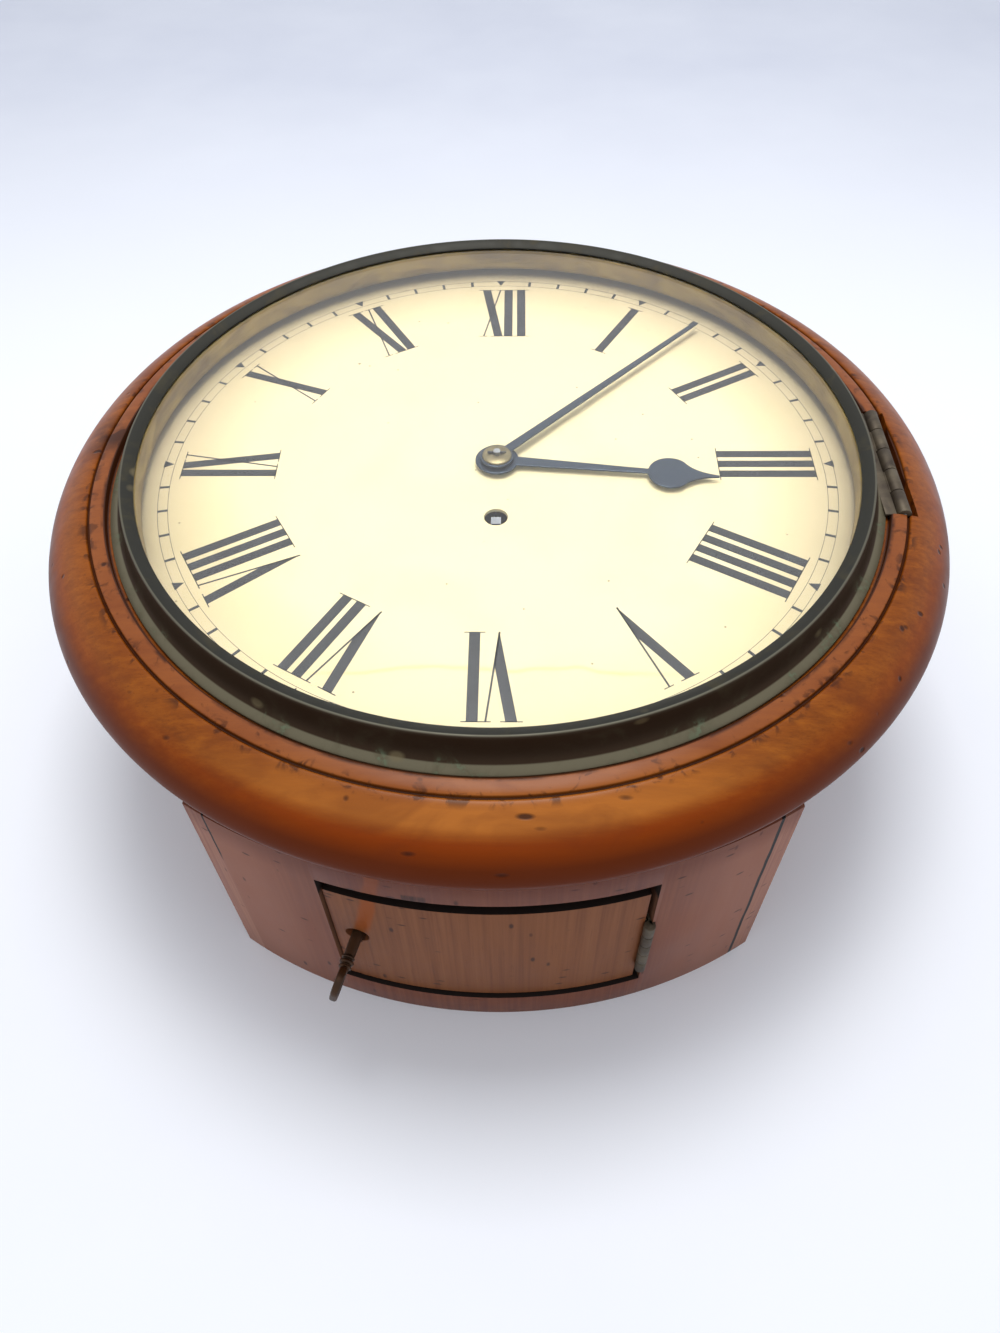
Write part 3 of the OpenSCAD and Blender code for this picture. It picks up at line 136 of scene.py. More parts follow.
class Bench:
    """Modelling steps that every sub-assembly shares."""

    @staticmethod
    def rest() -> None:
        """Leave edit mode and deselect everything."""
        if bpy.context.object is not None and bpy.context.object.mode != "OBJECT":
            bpy.ops.object.mode_set(mode="OBJECT")
        bpy.ops.object.select_all(action="DESELECT")

    @staticmethod
    def hold(piece: Piece) -> None:
        """Select one piece alone and make it the active one.

        Args:
            piece: The piece.
        """
        Bench.rest()
        piece.select_set(True)
        bpy.context.view_layer.objects.active = piece

    @staticmethod
    def named(name: str) -> Piece:
        """Name the piece that an operator has just added.

        Args:
            name: Its name.

        Returns:
            The piece.
        """
        piece = bpy.context.object
        piece.name = piece.data.name = name
        return piece

    @staticmethod
    def start(name: str) -> Piece:
        """Add an empty piece and open it for editing.

        Args:
            name: Its name.

        Returns:
            The piece.
        """
        Bench.rest()
        bpy.ops.mesh.primitive_plane_add(size=MM)
        piece = Bench.named(name)
        bpy.ops.object.mode_set(mode="EDIT")
        bpy.ops.mesh.select_all(action="SELECT")
        bpy.ops.mesh.delete(type="VERT")
        return piece

    @staticmethod
    def trace(points: Sequence[Vector]) -> None:
        """In edit mode, set down one corner and extrude it from point to point.

        Args:
            points: The points, in metres.
        """
        bpy.ops.mesh.primitive_plane_add(size=MM)
        bpy.ops.mesh.merge(type="CENTER")
        bpy.ops.transform.translate(value=points[0])
        for here, there in zip(points, points[1:]):
            bpy.ops.mesh.extrude_vertices_move(TRANSFORM_OT_translate={"value": there - here})

    @staticmethod
    def weld() -> None:
        """In edit mode, select the whole piece and merge its doubled corners."""
        bpy.ops.mesh.select_all(action="SELECT")
        bpy.ops.mesh.remove_doubles(threshold=WELD)

    @staticmethod
    def close_up() -> None:
        """Turn the faces of the piece in hand outwards and stop editing."""
        bpy.ops.mesh.normals_make_consistent(inside=False)
        bpy.ops.object.mode_set(mode="OBJECT")

    @staticmethod
    def plates(name: str, outlines: Iterable[Sequence[Pair]], low: float, high: float) -> Piece:
        """Cut flat plates of one thickness from their outlines.

        Args:
            name: Name of the piece that holds them all.
            outlines: Corners of each plate, in order.
            low: Height of the underside.
            high: Height of the top.

        Returns:
            The new piece.
        """
        piece = Bench.start(name)
        for outline in outlines:
            points = [Vector((x, y, low)) * MM for x, y in outline]
            Bench.trace([*points, points[0]])
            bpy.ops.mesh.select_linked()
            bpy.ops.mesh.remove_doubles(threshold=WELD)
            bpy.ops.mesh.edge_face_add()
        bpy.ops.mesh.select_all(action="SELECT")
        rise = (0.0, 0.0, (high - low) * MM)
        bpy.ops.mesh.extrude_region_move(TRANSFORM_OT_translate={"value": rise})
        bpy.ops.mesh.select_all(action="SELECT")
        Bench.close_up()
        return piece

    @staticmethod
    def spin(name: str, points: Sequence[Vector], steps: int, angle: float, centre: Triple) -> Piece:
        """Turn a line of points round an upright axis.

        Args:
            name: Name of the piece.
            points: The line's points.
            steps: Number of facets round the axis.
            angle: How far it turns; a part turn gets its two ends closed.
            centre: Point of the axis.

        Returns:
            The closed piece.
        """
        piece = Bench.start(name)
        Bench.trace(points)
        Bench.weld()
        bpy.ops.mesh.spin(steps=steps, angle=angle, center=centre, axis=(0, 0, 1))
        if angle < math.tau:
            bpy.ops.mesh.select_all(action="SELECT")
            bpy.ops.mesh.fill_holes(sides=0)
        Bench.weld()
        Bench.close_up()
        return piece

    @staticmethod
    def lathe(name: str, section: Sequence[Pair], steps: int = 256, open_ends: bool = False) -> Piece:
        """Turn a section round the dial's axis.

        Args:
            name: Name of the piece.
            section: Corners of the section as radius and height.
            steps: Number of facets round the axis.
            open_ends: True where the section starts and ends on the axis.

        Returns:
            The turned piece.
        """
        points = [Vector((r, 0.0, z)) * MM for r, z in section]
        if not open_ends:
            points.append(points[0])
        return Bench.spin(name, points, steps, math.tau, (0, 0, 0))

    @staticmethod
    def block(name: str, low: Triple, high: Triple) -> Piece:
        """Add a block.

        Args:
            name: Name of the piece.
            low: Its corner with the lowest coordinates.
            high: Its corner with the highest coordinates.

        Returns:
            The new piece.
        """
        Bench.rest()
        middle = [(a + b) / 2 * MM for a, b in zip(low, high)]
        size = [(b - a) * MM for a, b in zip(low, high)]
        bpy.ops.mesh.primitive_cube_add(size=1.0, location=middle, scale=size)
        piece = Bench.named(name)
        bpy.ops.object.transform_apply(location=True, rotation=True, scale=True)
        return piece

    @staticmethod
    def rod(name: str, radius: float, start: Triple, end: Triple, corners: int = 48) -> Piece:
        """Add a round rod.

        Args:
            name: Name of the piece.
            radius: Its radius.
            start: Middle of its first end.
            end: Middle of its other end.
            corners: Number of its facets.

        Returns:
            The new piece.
        """
        Bench.rest()
        first, last = Vector(start) * MM, Vector(end) * MM
        length = (last - first).length
        bpy.ops.mesh.primitive_cylinder_add(vertices=corners, radius=radius * MM, depth=length)
        turn = (last - first).to_track_quat("Z", "Y").to_matrix().to_4x4()
        return Bench.place(Bench.named(name), Matrix.Translation((first + last) / 2) @ turn)

    @staticmethod
    def place(piece: Piece, matrix: Matrix) -> Piece:
        """Move a piece's mesh and leave its object at the origin.

        Args:
            piece: The piece.
            matrix: Where it goes.

        Returns:
            The piece.
        """
        Bench.hold(piece)
        piece.matrix_world = matrix
        bpy.ops.object.transform_apply(location=True, rotation=True, scale=True)
        return piece

    @staticmethod
    def copy(piece: Piece, matrix: Matrix) -> Piece:
        """Copy a piece with a mesh of its own.

        Args:
            piece: The piece.
            matrix: Where the copy goes.

        Returns:
            The copy.
        """
        Bench.hold(piece)
        bpy.ops.object.duplicate()
        return Bench.place(bpy.context.object, matrix)

    @staticmethod
    def join(name: str, parts: Sequence[Piece]) -> Piece:
        """Join parts into one piece.

        Args:
            name: Name of the piece.
            parts: The parts, which are used up.

        Returns:
            The piece.
        """
        Bench.hold(parts[0])
        for part in parts[1:]:
            part.select_set(True)
        bpy.ops.object.join()
        return Bench.named(name)

    @staticmethod
    def modify(piece: Piece, kind: str, **settings: object) -> Piece:
        """Give a piece a modifier and apply it.

        Args:
            piece: The piece.
            kind: Blender's name of the modifier.
            settings: Values of the modifier's options.

        Returns:
            The piece.
        """
        Bench.hold(piece)
        bpy.ops.object.modifier_add(type=kind)
        modifier = piece.modifiers[-1]
        for key, value in settings.items():
            setattr(modifier, key, value)
        bpy.ops.object.modifier_apply(modifier=modifier.name)
        return piece

    @staticmethod
    def cut(piece: Piece, tool: Piece, keep: Keep = Keep.OUTSIDE) -> Piece:
        """Cut a piece with a tool, which is used up.

        Args:
            piece: The piece that stays.
            tool: The closed shape that cuts it.
            keep: Which side of the tool's surface stays.

        Returns:
            The piece.
        """
        Bench.modify(piece, "BOOLEAN", operation=keep.value, solver="EXACT", object=tool)
        bpy.data.objects.remove(tool, do_unlink=True)
        return piece

    @staticmethod
    def soften(piece: Piece, width: float, segments: int = 2, angle: float = 35.0) -> Piece:
        """Round a piece's sharp edges.

        Args:
            piece: The piece.
            width: How far the rounding reaches from an edge.
            segments: Number of facets across an edge.
            angle: Least angle between faces at an edge that is rounded.

        Returns:
            The piece.
        """
        return Bench.modify(
            piece, "BEVEL", width=width * MM, segments=segments, limit_method="ANGLE",
            angle_limit=math.radians(angle), use_clamp_overlap=True,
        )

    @staticmethod
    def fit(
        piece: Piece,
        body: str,
        finish: "Finish",
        slot: str,
        nodes: Sequence[str] = (),
        angle: float = 32.0,
    ) -> Piece:
        """Finish a piece, let it ride on its body and hide the nodes that it stands for.

        Args:
            piece: The modelled piece.
            body: Name of the body that it moves with.
            finish: Its finish.
            slot: Name of the record's material slot; not used.
            nodes: Names of the nodes that it stands for.
            angle: Largest angle between faces that are shaded as one.

        Returns:
            The piece.
        """
        Bench.hold(piece)
        bpy.ops.object.shade_smooth_by_angle(angle=math.radians(angle))
        finish.dress(piece)
        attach(piece, body)
        if nodes:
            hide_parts(*nodes)
        Bench.rest()
        LOG.info("%s rides on %s in %s", piece.name, body, finish.name)
        return piece


class Sheet:
    """A graph of nodes, with the colour and the relief that are laid on it one after another."""

    def __init__(self, tree: bpy.types.NodeTree, place: str = "Object") -> None:
        """Empty a graph and start it again.

        Args:
            tree: The graph.
            place: Kind of coordinates that it reads.
        """
        self.tree = tree
        tree.nodes.clear()
        self.place = self.node("ShaderNodeTexCoord").outputs[place]
        self.colour: Socket | str = "ffffff"
        self.normal: Socket | None = None

    def node(self, kind: str, inputs: dict | None = None, **settings: object) -> bpy.types.Node:
        """Add a node, set its options and feed its inputs.

        Args:
            kind: Blender's name of the node type.
            inputs: Value or socket for each input, by name or number.
            settings: Values of the node's own options.

        Returns:
            The new node.
        """
        made = self.tree.nodes.new(kind)
        for key, value in settings.items():
            setattr(made, key, value)
        for key, value in (inputs or {}).items():
            if isinstance(value, bpy.types.NodeSocket):
                self.tree.links.new(value, made.inputs[key])
            else:
                made.inputs[key].default_value = value
        return made

    def grid(self, scale: Triple | float, shift: Triple = (0, 0, 0)) -> Socket:
        """Stretch the coordinates.

        Args:
            scale: How far along each axis; one number for all three.
            shift: How far they move afterwards.

        Returns:
            The stretched coordinates.
        """
        scale = scale if isinstance(scale, tuple) else (scale, scale, scale)
        inputs = {"Vector": self.place, "Scale": scale, "Location": shift}
        return self.node("ShaderNodeMapping", inputs).outputs[0]

    def noise(
        self, scale: Triple | float, detail: float, warp: float = 0.0, rough: float = 0.55
    ) -> Socket:
        """Cloudy noise.

        Args:
            scale: Number of waves to the metre along each axis.
            detail: Number of finer layers.
            warp: How far it is distorted.
            rough: Weight of the finer layers.

        Returns:
            Its value.
        """
        inputs = {"Vector": self.grid(scale), "Scale": 1.0, "Detail": detail}
        inputs.update({"Roughness": rough, "Distortion": warp})
        return self.node("ShaderNodeTexNoise", inputs).outputs[0]

    def specks(self, scale: Triple | float, size: float, share: float) -> Socket:
        """Scattered spots.

        Args:
            scale: Number of cells to the metre along each axis.
            size: Size of a spot in cell widths.
            share: Share of the cells that hold a spot.

        Returns:
            One inside a spot and nought outside.
        """
        cells = self.node("ShaderNodeTexVoronoi", {"Vector": self.grid(scale), "Scale": 1.0})
        spot = self.span(cells.outputs["Distance"], size, size * 0.5)
        red = self.node("ShaderNodeSeparateColor", {"Color": cells.outputs["Color"]}).outputs[0]
        return self.times(spot, self.calc("LESS_THAN", red, share))

    def axis(self, letter: str) -> Socket:
        """One of the coordinates."""
        return self.node("ShaderNodeSeparateXYZ", {"Vector": self.place}).outputs[letter]

    def reach(self, centre: Triple = (0, 0, 0), flat: bool = True) -> Socket:
        """Distance from a place.

        Args:
            centre: The place, in millimetres.
            flat: True for the distance from the upright line through it.

        Returns:
            The distance.
        """
        scale = (1, 1, 0) if flat else (1, 1, 1)
        shift = tuple(-c * MM * s for c, s in zip(centre, scale))
        inputs = {0: self.grid(scale, shift)}
        return self.node("ShaderNodeVectorMath", inputs, operation="LENGTH").outputs["Value"]

    def calc(self, kind: str, first: Socket | float, *others: Socket | float) -> Socket:
        """Arithmetic on values, from the first to the last.

        Args:
            kind: Blender's name of the operation.
            first: The first value.
            others: The values that follow; none for an operation on one value.

        Returns:
            The result.
        """
        for other in others or (0.0,):
            first = self.node("ShaderNodeMath", {0: first, 1: other}, operation=kind).outputs[0]
        return first

    def times(self, *values: Socket | float) -> Socket:
        """Product of values."""
        return self.calc("MULTIPLY", *values)

    def most(self, *values: Socket | float) -> Socket:
        """Largest of values."""
        return self.calc("MAXIMUM", *values)

    def span(
        self, value: Socket, low: float, high: float, to_low: float = 0.0, to_high: float = 1.0
    ) -> Socket:
        """Map a range of a value to another range, held at its ends.

        Args:
            value: The value.
            low: Where its range starts.
            high: Where its range ends.
            to_low: What it gives at the start.
            to_high: What it gives at the end.

        Returns:
            The mapped value.
        """
        inputs = {"Value": value, "From Min": low, "From Max": high, "To Min": to_low, "To Max": to_high}
        return self.node("ShaderNodeMapRange", inputs, clamp=True).outputs[0]

    def vary(self, noise: Socket, to_low: float, to_high: float) -> Socket:
        """Map the values that a noise mostly takes to a range."""
        return self.span(noise, 0.3, 0.7, to_low, to_high)

    def band(self, value: Socket, middle: float, half: float, soft: float) -> Socket:
        """Mark a band of a value, in millimetres.

        Args:
            value: The value.
            middle: Middle of the band.
            half: Half its width.
            soft: How far it fades at each side.

        Returns:
            One inside the band and nought outside.
        """
        away = self.calc("ABSOLUTE", self.calc("SUBTRACT", value, middle * MM))
        return self.span(away, (half + soft) * MM, half * MM)

    def ramp(self, value: Socket, *stops: tuple[float, str]) -> Socket:
        """Colour ramp.

        Args:
            value: Where on the ramp to read.
            stops: Place and hexadecimal colour of each stop.

        Returns:
            The colour.
        """
        made = self.node("ShaderNodeValToRGB", {"Fac": value})
        points = made.color_ramp.elements
        while len(points) < len(stops):
            points.new(0.5)
        for point, (place, code) in zip(points, stops):
            point.position, point.color = place, tint(code)
        return made.outputs[0]

    def mix(
        self, share: Socket | float, first: Socket | str, second: Socket | str, how: Blend = Blend.COVER
    ) -> Socket:
        """Mix two colours.

        Args:
            share: How much of the second there is.
            first: The first, a socket or a hexadecimal colour.
            second: The second.
            how: How the second goes over the first.

        Returns:
            The colour.
        """
        a, b = [tint(c) if isinstance(c, str) else c for c in (first, second)]
        inputs = {0: share, 6: a, 7: b}
        made = self.node("ShaderNodeMix", inputs, data_type="RGBA", blend_type=how.value)
        return made.outputs[2]

    def wash(
        self, share: Socket, over: Socket | str, strength: float = 1.0, how: Blend = Blend.COVER
    ) -> None:
        """Lay a colour over the sheet's colour.

        Args:
            share: Where it lies, from nought to one.
            over: The colour, a socket or hexadecimal.
            strength: How far it covers there.
            how: How it goes over what is there.
        """
        if strength < 1.0:
            share = self.times(share, strength)
        self.colour = self.mix(share, self.colour, over, how)

    def dent(self, height: Socket, depth: float, strength: float = 1.0) -> None:
        """Add relief of a depth in millimetres to what is there.

        Args:
            height: The relief, from nought to one.
            depth: Its depth.
            strength: How much of it shows.
        """
        inputs = {"Height": height, "Distance": depth * MM, "Strength": strength}
        if self.normal is not None:
            inputs["Normal"] = self.normal
        self.normal = self.node("ShaderNodeBump", inputs).outputs[0]

    def shine(self, rough: Socket | float, metal: float = 0.0, **fixed: object) -> Socket:
        """Make the surface shader from the sheet's colour and relief.

        Args:
            rough: Its roughness.
            metal: How metallic it is.
            fixed: Values of other sockets, with underscores for blanks.

        Returns:
            The shader's output.
        """
        base = tint(self.colour) if isinstance(self.colour, str) else self.colour
        inputs: dict = {"Base Color": base, "Roughness": rough, "Metallic": metal}
        inputs.update({key.replace("_", " "): value for key, value in fixed.items()})
        if self.normal is not None:
            inputs["Normal"] = self.normal
        return self.node("ShaderNodeBsdfPrincipled", inputs).outputs[0]

    def lay(self, shader: Socket) -> None:
        """Connect a shader to the surface."""
        self.node("ShaderNodeOutputMaterial", {"Surface": shader})

    def coat(self, rough: Socket | float, metal: float = 0.0, **fixed: object) -> None:
        """Make the surface shader and connect it; the arguments are those of shine."""
        self.lay(self.shine(rough, metal, **fixed))


@dataclass(frozen=True)
class Finish:
    """A finish, made on first use and shared by the pieces that carry it."""

    name: str

    def draw(self, s: Sheet) -> None:
        """Draw the finish's graph; each kind has its own."""
        raise NotImplementedError

    def material(self) -> bpy.types.Material:
        """Make the finish's material, or find it where it's made.

        Returns:
            The material.
        """
        found = bpy.data.materials.get(self.name)
        if found is None:
            found = bpy.data.materials.new(self.name)
            found.use_nodes = True
            self.draw(Sheet(found.node_tree))
        return found

    def dress(self, piece: Piece) -> None:
        """Give a piece this finish alone."""
        piece.data.materials.clear()
        piece.data.materials.append(self.material())


@dataclass(frozen=True)
class PolishedMahogany(Finish):
    """Honey-brown mahogany with a satin polish, painted sheen and painted shade on its roll, dirt and
    painted shade in its groove, dents and finger marks.
    """

    dark: str = "6c3309"
    middle: str = "84430e"
    light: str = "9a5414"
    amber_sheen: str = "bc702a"
    deep: str = "8f3800"
    rim: str = "8f5230"
    low: str = "5c2200"
    stain: str = "66290c"
    dirt_and_shade: str = "2a110a"
    rim_band: Triple = (168.3, 2.9, 0.8)
    sheen_band: Triple = (149.5, 1.5, 3.0)
    foot_band: Triple = (165.7, 0.5, 1.1)
    groove_band: Triple = (172.45, 0.4, 0.3)
    seam_shade_band: Triple = (165.4, 0.45, 0.4)
    beside_band: Triple = (172.9, 1.6, 2.6)
    scuff_band: Triple = (168.0, 3.2, 1.2)
    fingers_at: Triple = (-168.0, 12.0, 152.0)

    def draw(self, s: Sheet) -> None:
        """Draw the wood, its tones by place with the painted sheen and painted shade, and the marks.

        Args:
            s: The sheet.
        """
        reach, height = s.reach(), s.axis("Z")
        grain = s.noise((9, 300, 300), 8.0, 0.18, 0.68)
        self.wood(s, grain)
        patches = s.span(s.noise((26, 48, 48), 5.0, 0.5), 0.5, 0.66, 0.0, 0.35)
        s.wash(s.band(reach, *self.rim_band), self.rim, 0.6)
        front = s.span(s.axis("Y"), -0.145, -0.180)
        # Painted sheen: a lighter amber band along the top of the roll at the front.
        s.wash(s.times(s.band(height, *self.sheen_band), front), self.amber_sheen, 0.8)
        # Painted shade: deeper orange below the sheen, most at the front, then darker and redder down
        # the roll's lower side, with some stain in it.
        s.wash(s.times(s.span(height, 0.1485, 0.1445), s.span(front, 0.0, 1.0, 0.35, 0.85)), self.deep)
        s.wash(s.span(height, 0.1455, 0.138, 0.0, 0.92), self.low)
        s.wash(patches, self.stain)
        marks = s.most(s.specks((34, 100, 100), 0.13, 0.6), s.specks(74, 0.11, 0.65))
        s.wash(marks, self.dirt_and_shade, 0.85)
        rubbed = s.noise(60, 5.0, 0.6)
        # Dirt, scuffs and finger marks, with painted shade in the groove and along the seam at the
        # bezel's foot.
        s.wash(self.grime_and_shade(s, reach, rubbed), self.dirt_and_shade, 0.85)
        s.dent(grain, 0.03, 0.4)
        s.dent(s.calc("SUBTRACT", 1.0, marks), 0.35, 0.7)
        polish = s.span(height, 0.149, 0.143, 0.14, 0.02)
        rough = s.vary(rubbed, 0.3, 0.42)
        s.coat(rough, Coat_Weight=polish, Coat_Roughness=0.25, Specular_IOR_Level=0.08)

    def wood(self, s: Sheet, grain: Socket) -> None:
        """Draw the grain along X, broad clouds in it and fine pores.

        Args:
            s: The sheet.
            grain: Noise of the grain.
        """
        cloud = s.noise((9, 16, 16), 3.0, 0.6)
        s.colour = s.ramp(grain, (0.32, self.dark), (0.5, self.middle), (0.7, self.light))
        s.wash(s.span(cloud, 0.42, 0.72, 0.0, 0.4), self.light)
        s.wash(s.span(cloud, 0.46, 0.28, 0.0, 0.3), self.dark)
        s.wash(s.span(s.noise((90, 1700, 1700), 2.0), 0.58, 0.72, 0.0, 0.5), self.dark)

    def grime_and_shade(self, s: Sheet, reach: Socket, rubbed: Socket) -> Socket:
        """Dirt, scuffs, finger marks and painted shade by their place on the ring.

        Args:
            s: The sheet.
            reach: Distance from the dial's axis.
            rubbed: Noise of the polish's wear.

        Returns:
            Where it darkens: dirt along the bezel's foot, dirt and painted shade in the groove, painted
                shade along the seam by the bezel's foot, scuffs beside the groove and on the rim, and
                finger marks at the left, where fingers open the bezel.
        """
        foot = s.times(s.band(reach, *self.foot_band), s.span(rubbed, 0.44, 0.6))
        # Painted shade along the seam at the bezel's foot, and dirt and painted shade in the groove.
        groove_dirt_and_shade = s.most(s.band(reach, *self.groove_band), s.band(reach, *self.seam_shade_band))
        scuffs = s.noise(150, 5.0, 0.8)
        beside = s.times(s.band(reach, *self.beside_band), s.span(scuffs, 0.54, 0.62, 0.0, 0.75))
        rim = s.times(s.band(reach, *self.scuff_band), s.span(scuffs, 0.6, 0.68, 0.0, 0.6))
        touched = s.span(s.reach(self.fingers_at, flat=False), 0.019, 0.004)
        fingers = s.times(touched, s.span(rubbed, 0.38, 0.54))
        return s.most(foot, groove_dirt_and_shade, beside, rim, fingers)


@dataclass(frozen=True)
class CaseVeneer(Finish):
    """Dull mahogany veneer with upright grain."""

    dark: str
    middle: str
    light: str
    front: bool = False
    ends: str = "97604a"
    fleck: str = "2a1610"
    overhang_shade: str = "5a2012"
    streak: str = "94470b"
    chip: str = "2a120c"
    crack: str = "060303"
    streak_band: Triple = (-52.0, 2.0, 1.3)
    chip_across: Triple = (-27.5, 4.0, 0.6)
    chip_height: Triple = (107.2, 1.9, 1.2)
    right_crack: Triple = (104.7, 0.6, 0.3)
    left_crack: Triple = (-104.3, 0.3, 0.3)

    def draw(self, s: Sheet) -> None:
        """Draw the wood, dark flecks, painted shade under the surround, and on the front the streak of
        polish and the cracks.

        Args:
            s: The sheet.
        """
        grain = s.noise((620, 620, 9), 6.0, 0.2)
        cloud = s.noise((17, 17, 9), 3.0, 0.8)
        s.colour = s.ramp(grain, (0.24, self.dark), (0.5, self.middle), (0.8, self.light))
        s.wash(s.span(cloud, 0.4, 0.68, 0.0, 0.35), self.light)
        s.wash(s.span(cloud, 0.45, 0.28, 0.0, 0.4), self.dark)
        pores = s.noise((1500, 1500, 70), 2.0)
        s.wash(s.span(pores, 0.6, 0.74, 0.0, 0.35), self.dark)
        across, height = s.axis("X"), s.axis("Z")
        if self.front:
            s.wash(s.span(s.calc("ABSOLUTE", across), 0.055, 0.092, 0.0, 0.85), self.ends)
        flecks = s.most(s.specks((150, 150, 62), 0.17, 0.5), s.specks((75, 75, 210), 0.17, 0.55))
        s.wash(flecks, self.fleck, 0.8)
        # Painted shade: darker towards the top, under the surround's overhang.
        s.wash(s.span(height, 0.1035, 0.116, 0.0, 0.42), self.overhang_shade)
        if self.front:
            self.streak_and_chip(s, across, height, pores)
        self.cracks(s, across, height)
        s.dent(grain, 0.04, 0.45)
        s.coat(s.vary(cloud, 0.42, 0.56), Specular_IOR_Level=0.2)

    def streak_and_chip(self, s: Sheet, across: Socket, height: Socket, pores: Socket) -> None:
        """Draw the run of polish over the key and the chip over the door.

        Args:
            s: The sheet.
            across: Place along X.
            height: Place along Z.
            pores: Noise of the wood's pores.
        """
        wave = s.vary(s.noise(30, 2.0), -0.0012, 0.0012)
        lean = s.span(height, 0.066, 0.117, 0.0, 0.0108)
        run = s.times(
            s.band(s.calc("SUBTRACT", s.calc("ADD", across, wave), lean), *self.streak_band),
            s.span(s.axis("Y"), -0.150, -0.158),
            s.span(height, 0.060, 0.072, 0.0, 0.85),
            s.span(height, 0.1015, 0.1025, 1.0, 0.5),
        )
        s.wash(run, self.streak)
        chip = s.times(s.band(across, *self.chip_across), s.band(height, *self.chip_height))
        s.wash(s.times(chip, s.span(pores, 0.4, 0.6, 0.45, 0.9)), self.chip)

    def cracks(self, s: Sheet, across: Socket, height: Socket) -> None:
        """Draw the open joints at the front's ends.

        Args:
            s: The sheet.
            across: Place along X.
            height: Place along Z.
        """
        ragged = s.calc("ADD", across, s.span(s.noise(60, 3.0), 0.35, 0.65, 0.0, 0.0004))
        right = s.band(ragged, *self.right_crack)
        left = s.times(s.band(ragged, *self.left_crack), s.span(height, 0.085, 0.092))
        s.wash(s.times(s.most(right, left), s.span(s.axis("Y"), -0.135, -0.145)), self.crack)


@dataclass(frozen=True)
class PlainWood(Finish):
    """Unpolished wood of blocks, edges and boards."""

    dark: str = "6b4a2b"
    light: str = "a98455"
    along: Triple = (220, 14, 220)

    def draw(self, s: Sheet) -> None:
        """Draw grain along one axis with age stains.

        Args:
            s: The sheet.
        """
        grain = s.noise(self.along, 6.0, 0.6)
        stain = s.noise(14, 4.0, 0.5)
        s.colour = s.ramp(grain, (0.3, self.dark), (0.7, self.light))
        s.wash(s.span(stain, 0.5, 0.7, 0.0, 0.4), self.dark)
        s.dent(grain, 0.12, 0.6)
        s.coat(s.vary(grain, 0.62, 0.8))


@dataclass(frozen=True)
class SawnEdge(Finish):
    """Sawn edge of the door's opening, black along its top and its foot with painted shade of the gaps
    above and below the door.
    """

    dark: str = "3b2318"
    light: str = "6b4630"
    dirt_and_shade: str = "100907"

    def draw(self, s: Sheet) -> None:
        """Draw upright grain, then the painted shade by height.

        Args:
            s: The sheet.
        """
        grain = s.noise((260, 260, 16), 6.0, 0.4)
        s.colour = s.ramp(grain, (0.3, self.dark), (0.7, self.light))
        height = s.axis("Z")
        # Painted shade: black on the faces of the gaps above and below the door.
        dirt_and_shade = s.most(s.span(height, 0.0925, 0.0955), s.span(height, 0.0195, 0.0175))
        s.wash(dirt_and_shade, self.dirt_and_shade, 0.95)
        s.dent(grain, 0.1, 0.5)
        s.coat(0.7, Specular_IOR_Level=0.15)


@dataclass(frozen=True)
class BezelPatina(Finish):
    """Tarnished bezel: slate on top, near black brown down its side, greenish on its foot."""

    top: str = "2f2e29"
    side: str = "36271a"
    foot: str = "6f6854"
    blotch: str = "4a4330"
    bloom: str = "6f8268"
    drop: str = "7c6f52"
    arris: str = "8c8876"
    arris_highlight_band: Triple = (156.3, 0.22, 0.35)

    def draw(self, s: Sheet) -> None:
        """Draw the three zones by radius, with a painted highlight along the arris, blotches and green
        bloom.

        Args:
            s: The sheet.
        """
        reach = s.reach()
        blotch = s.noise(70, 5.0, 0.8)
        fine = s.noise(500, 3.0)
        s.colour = s.mix(s.span(reach, 0.1562, 0.1567), self.top, self.side)
        s.wash(s.span(reach, 0.1601, 0.1606), self.foot)
        s.wash(s.span(blotch, 0.52, 0.68, 0.0, 0.4), self.blotch)
        bloom = s.times(s.span(blotch, 0.56, 0.64), s.span(fine, 0.45, 0.6, 0.0, 0.5))
        s.wash(s.times(bloom, s.span(reach, 0.1585, 0.161)), self.bloom)
        s.wash(s.specks((60, 60, 110), 0.2, 0.25), self.drop, 0.5)
        # Painted highlight: a lighter line along the arris.
        s.wash(s.band(reach, *self.arris_highlight_band), self.arris, 0.35)
        s.dent(fine, 0.02, 0.4)
        s.coat(s.vary(blotch, 0.4, 0.56), 0.4, Specular_IOR_Level=0.15)


@dataclass(frozen=True)
class MottledMetal(Finish):
    """Metal of two tones with fine scratches."""

    first: str = "b08d4a"
    second: str = "8a6a33"
    rough: float = 0.34
    metal: float = 0.95
    mottle: float = 60.0
    scratch: Triple | float = (900, 60, 900)
    gloss: float = 0.5

    def draw(self, s: Sheet) -> None:
        """Draw broad mottling under fine scratches.

        Args:
            s: The sheet.
        """
        cloud = s.noise(self.mottle, 4.0, 0.5)
        lines = s.noise(self.scratch, 3.0)
        s.colour = s.mix(s.span(cloud, 0.38, 0.66), self.first, self.second)
        s.wash(s.span(lines, 0.5, 0.75, 0.0, 0.3), self.second)
        s.dent(lines, 0.01, 0.35)
        rough = s.vary(cloud, self.rough, self.rough + 0.14)
        s.coat(rough, self.metal, Specular_IOR_Level=self.gloss)


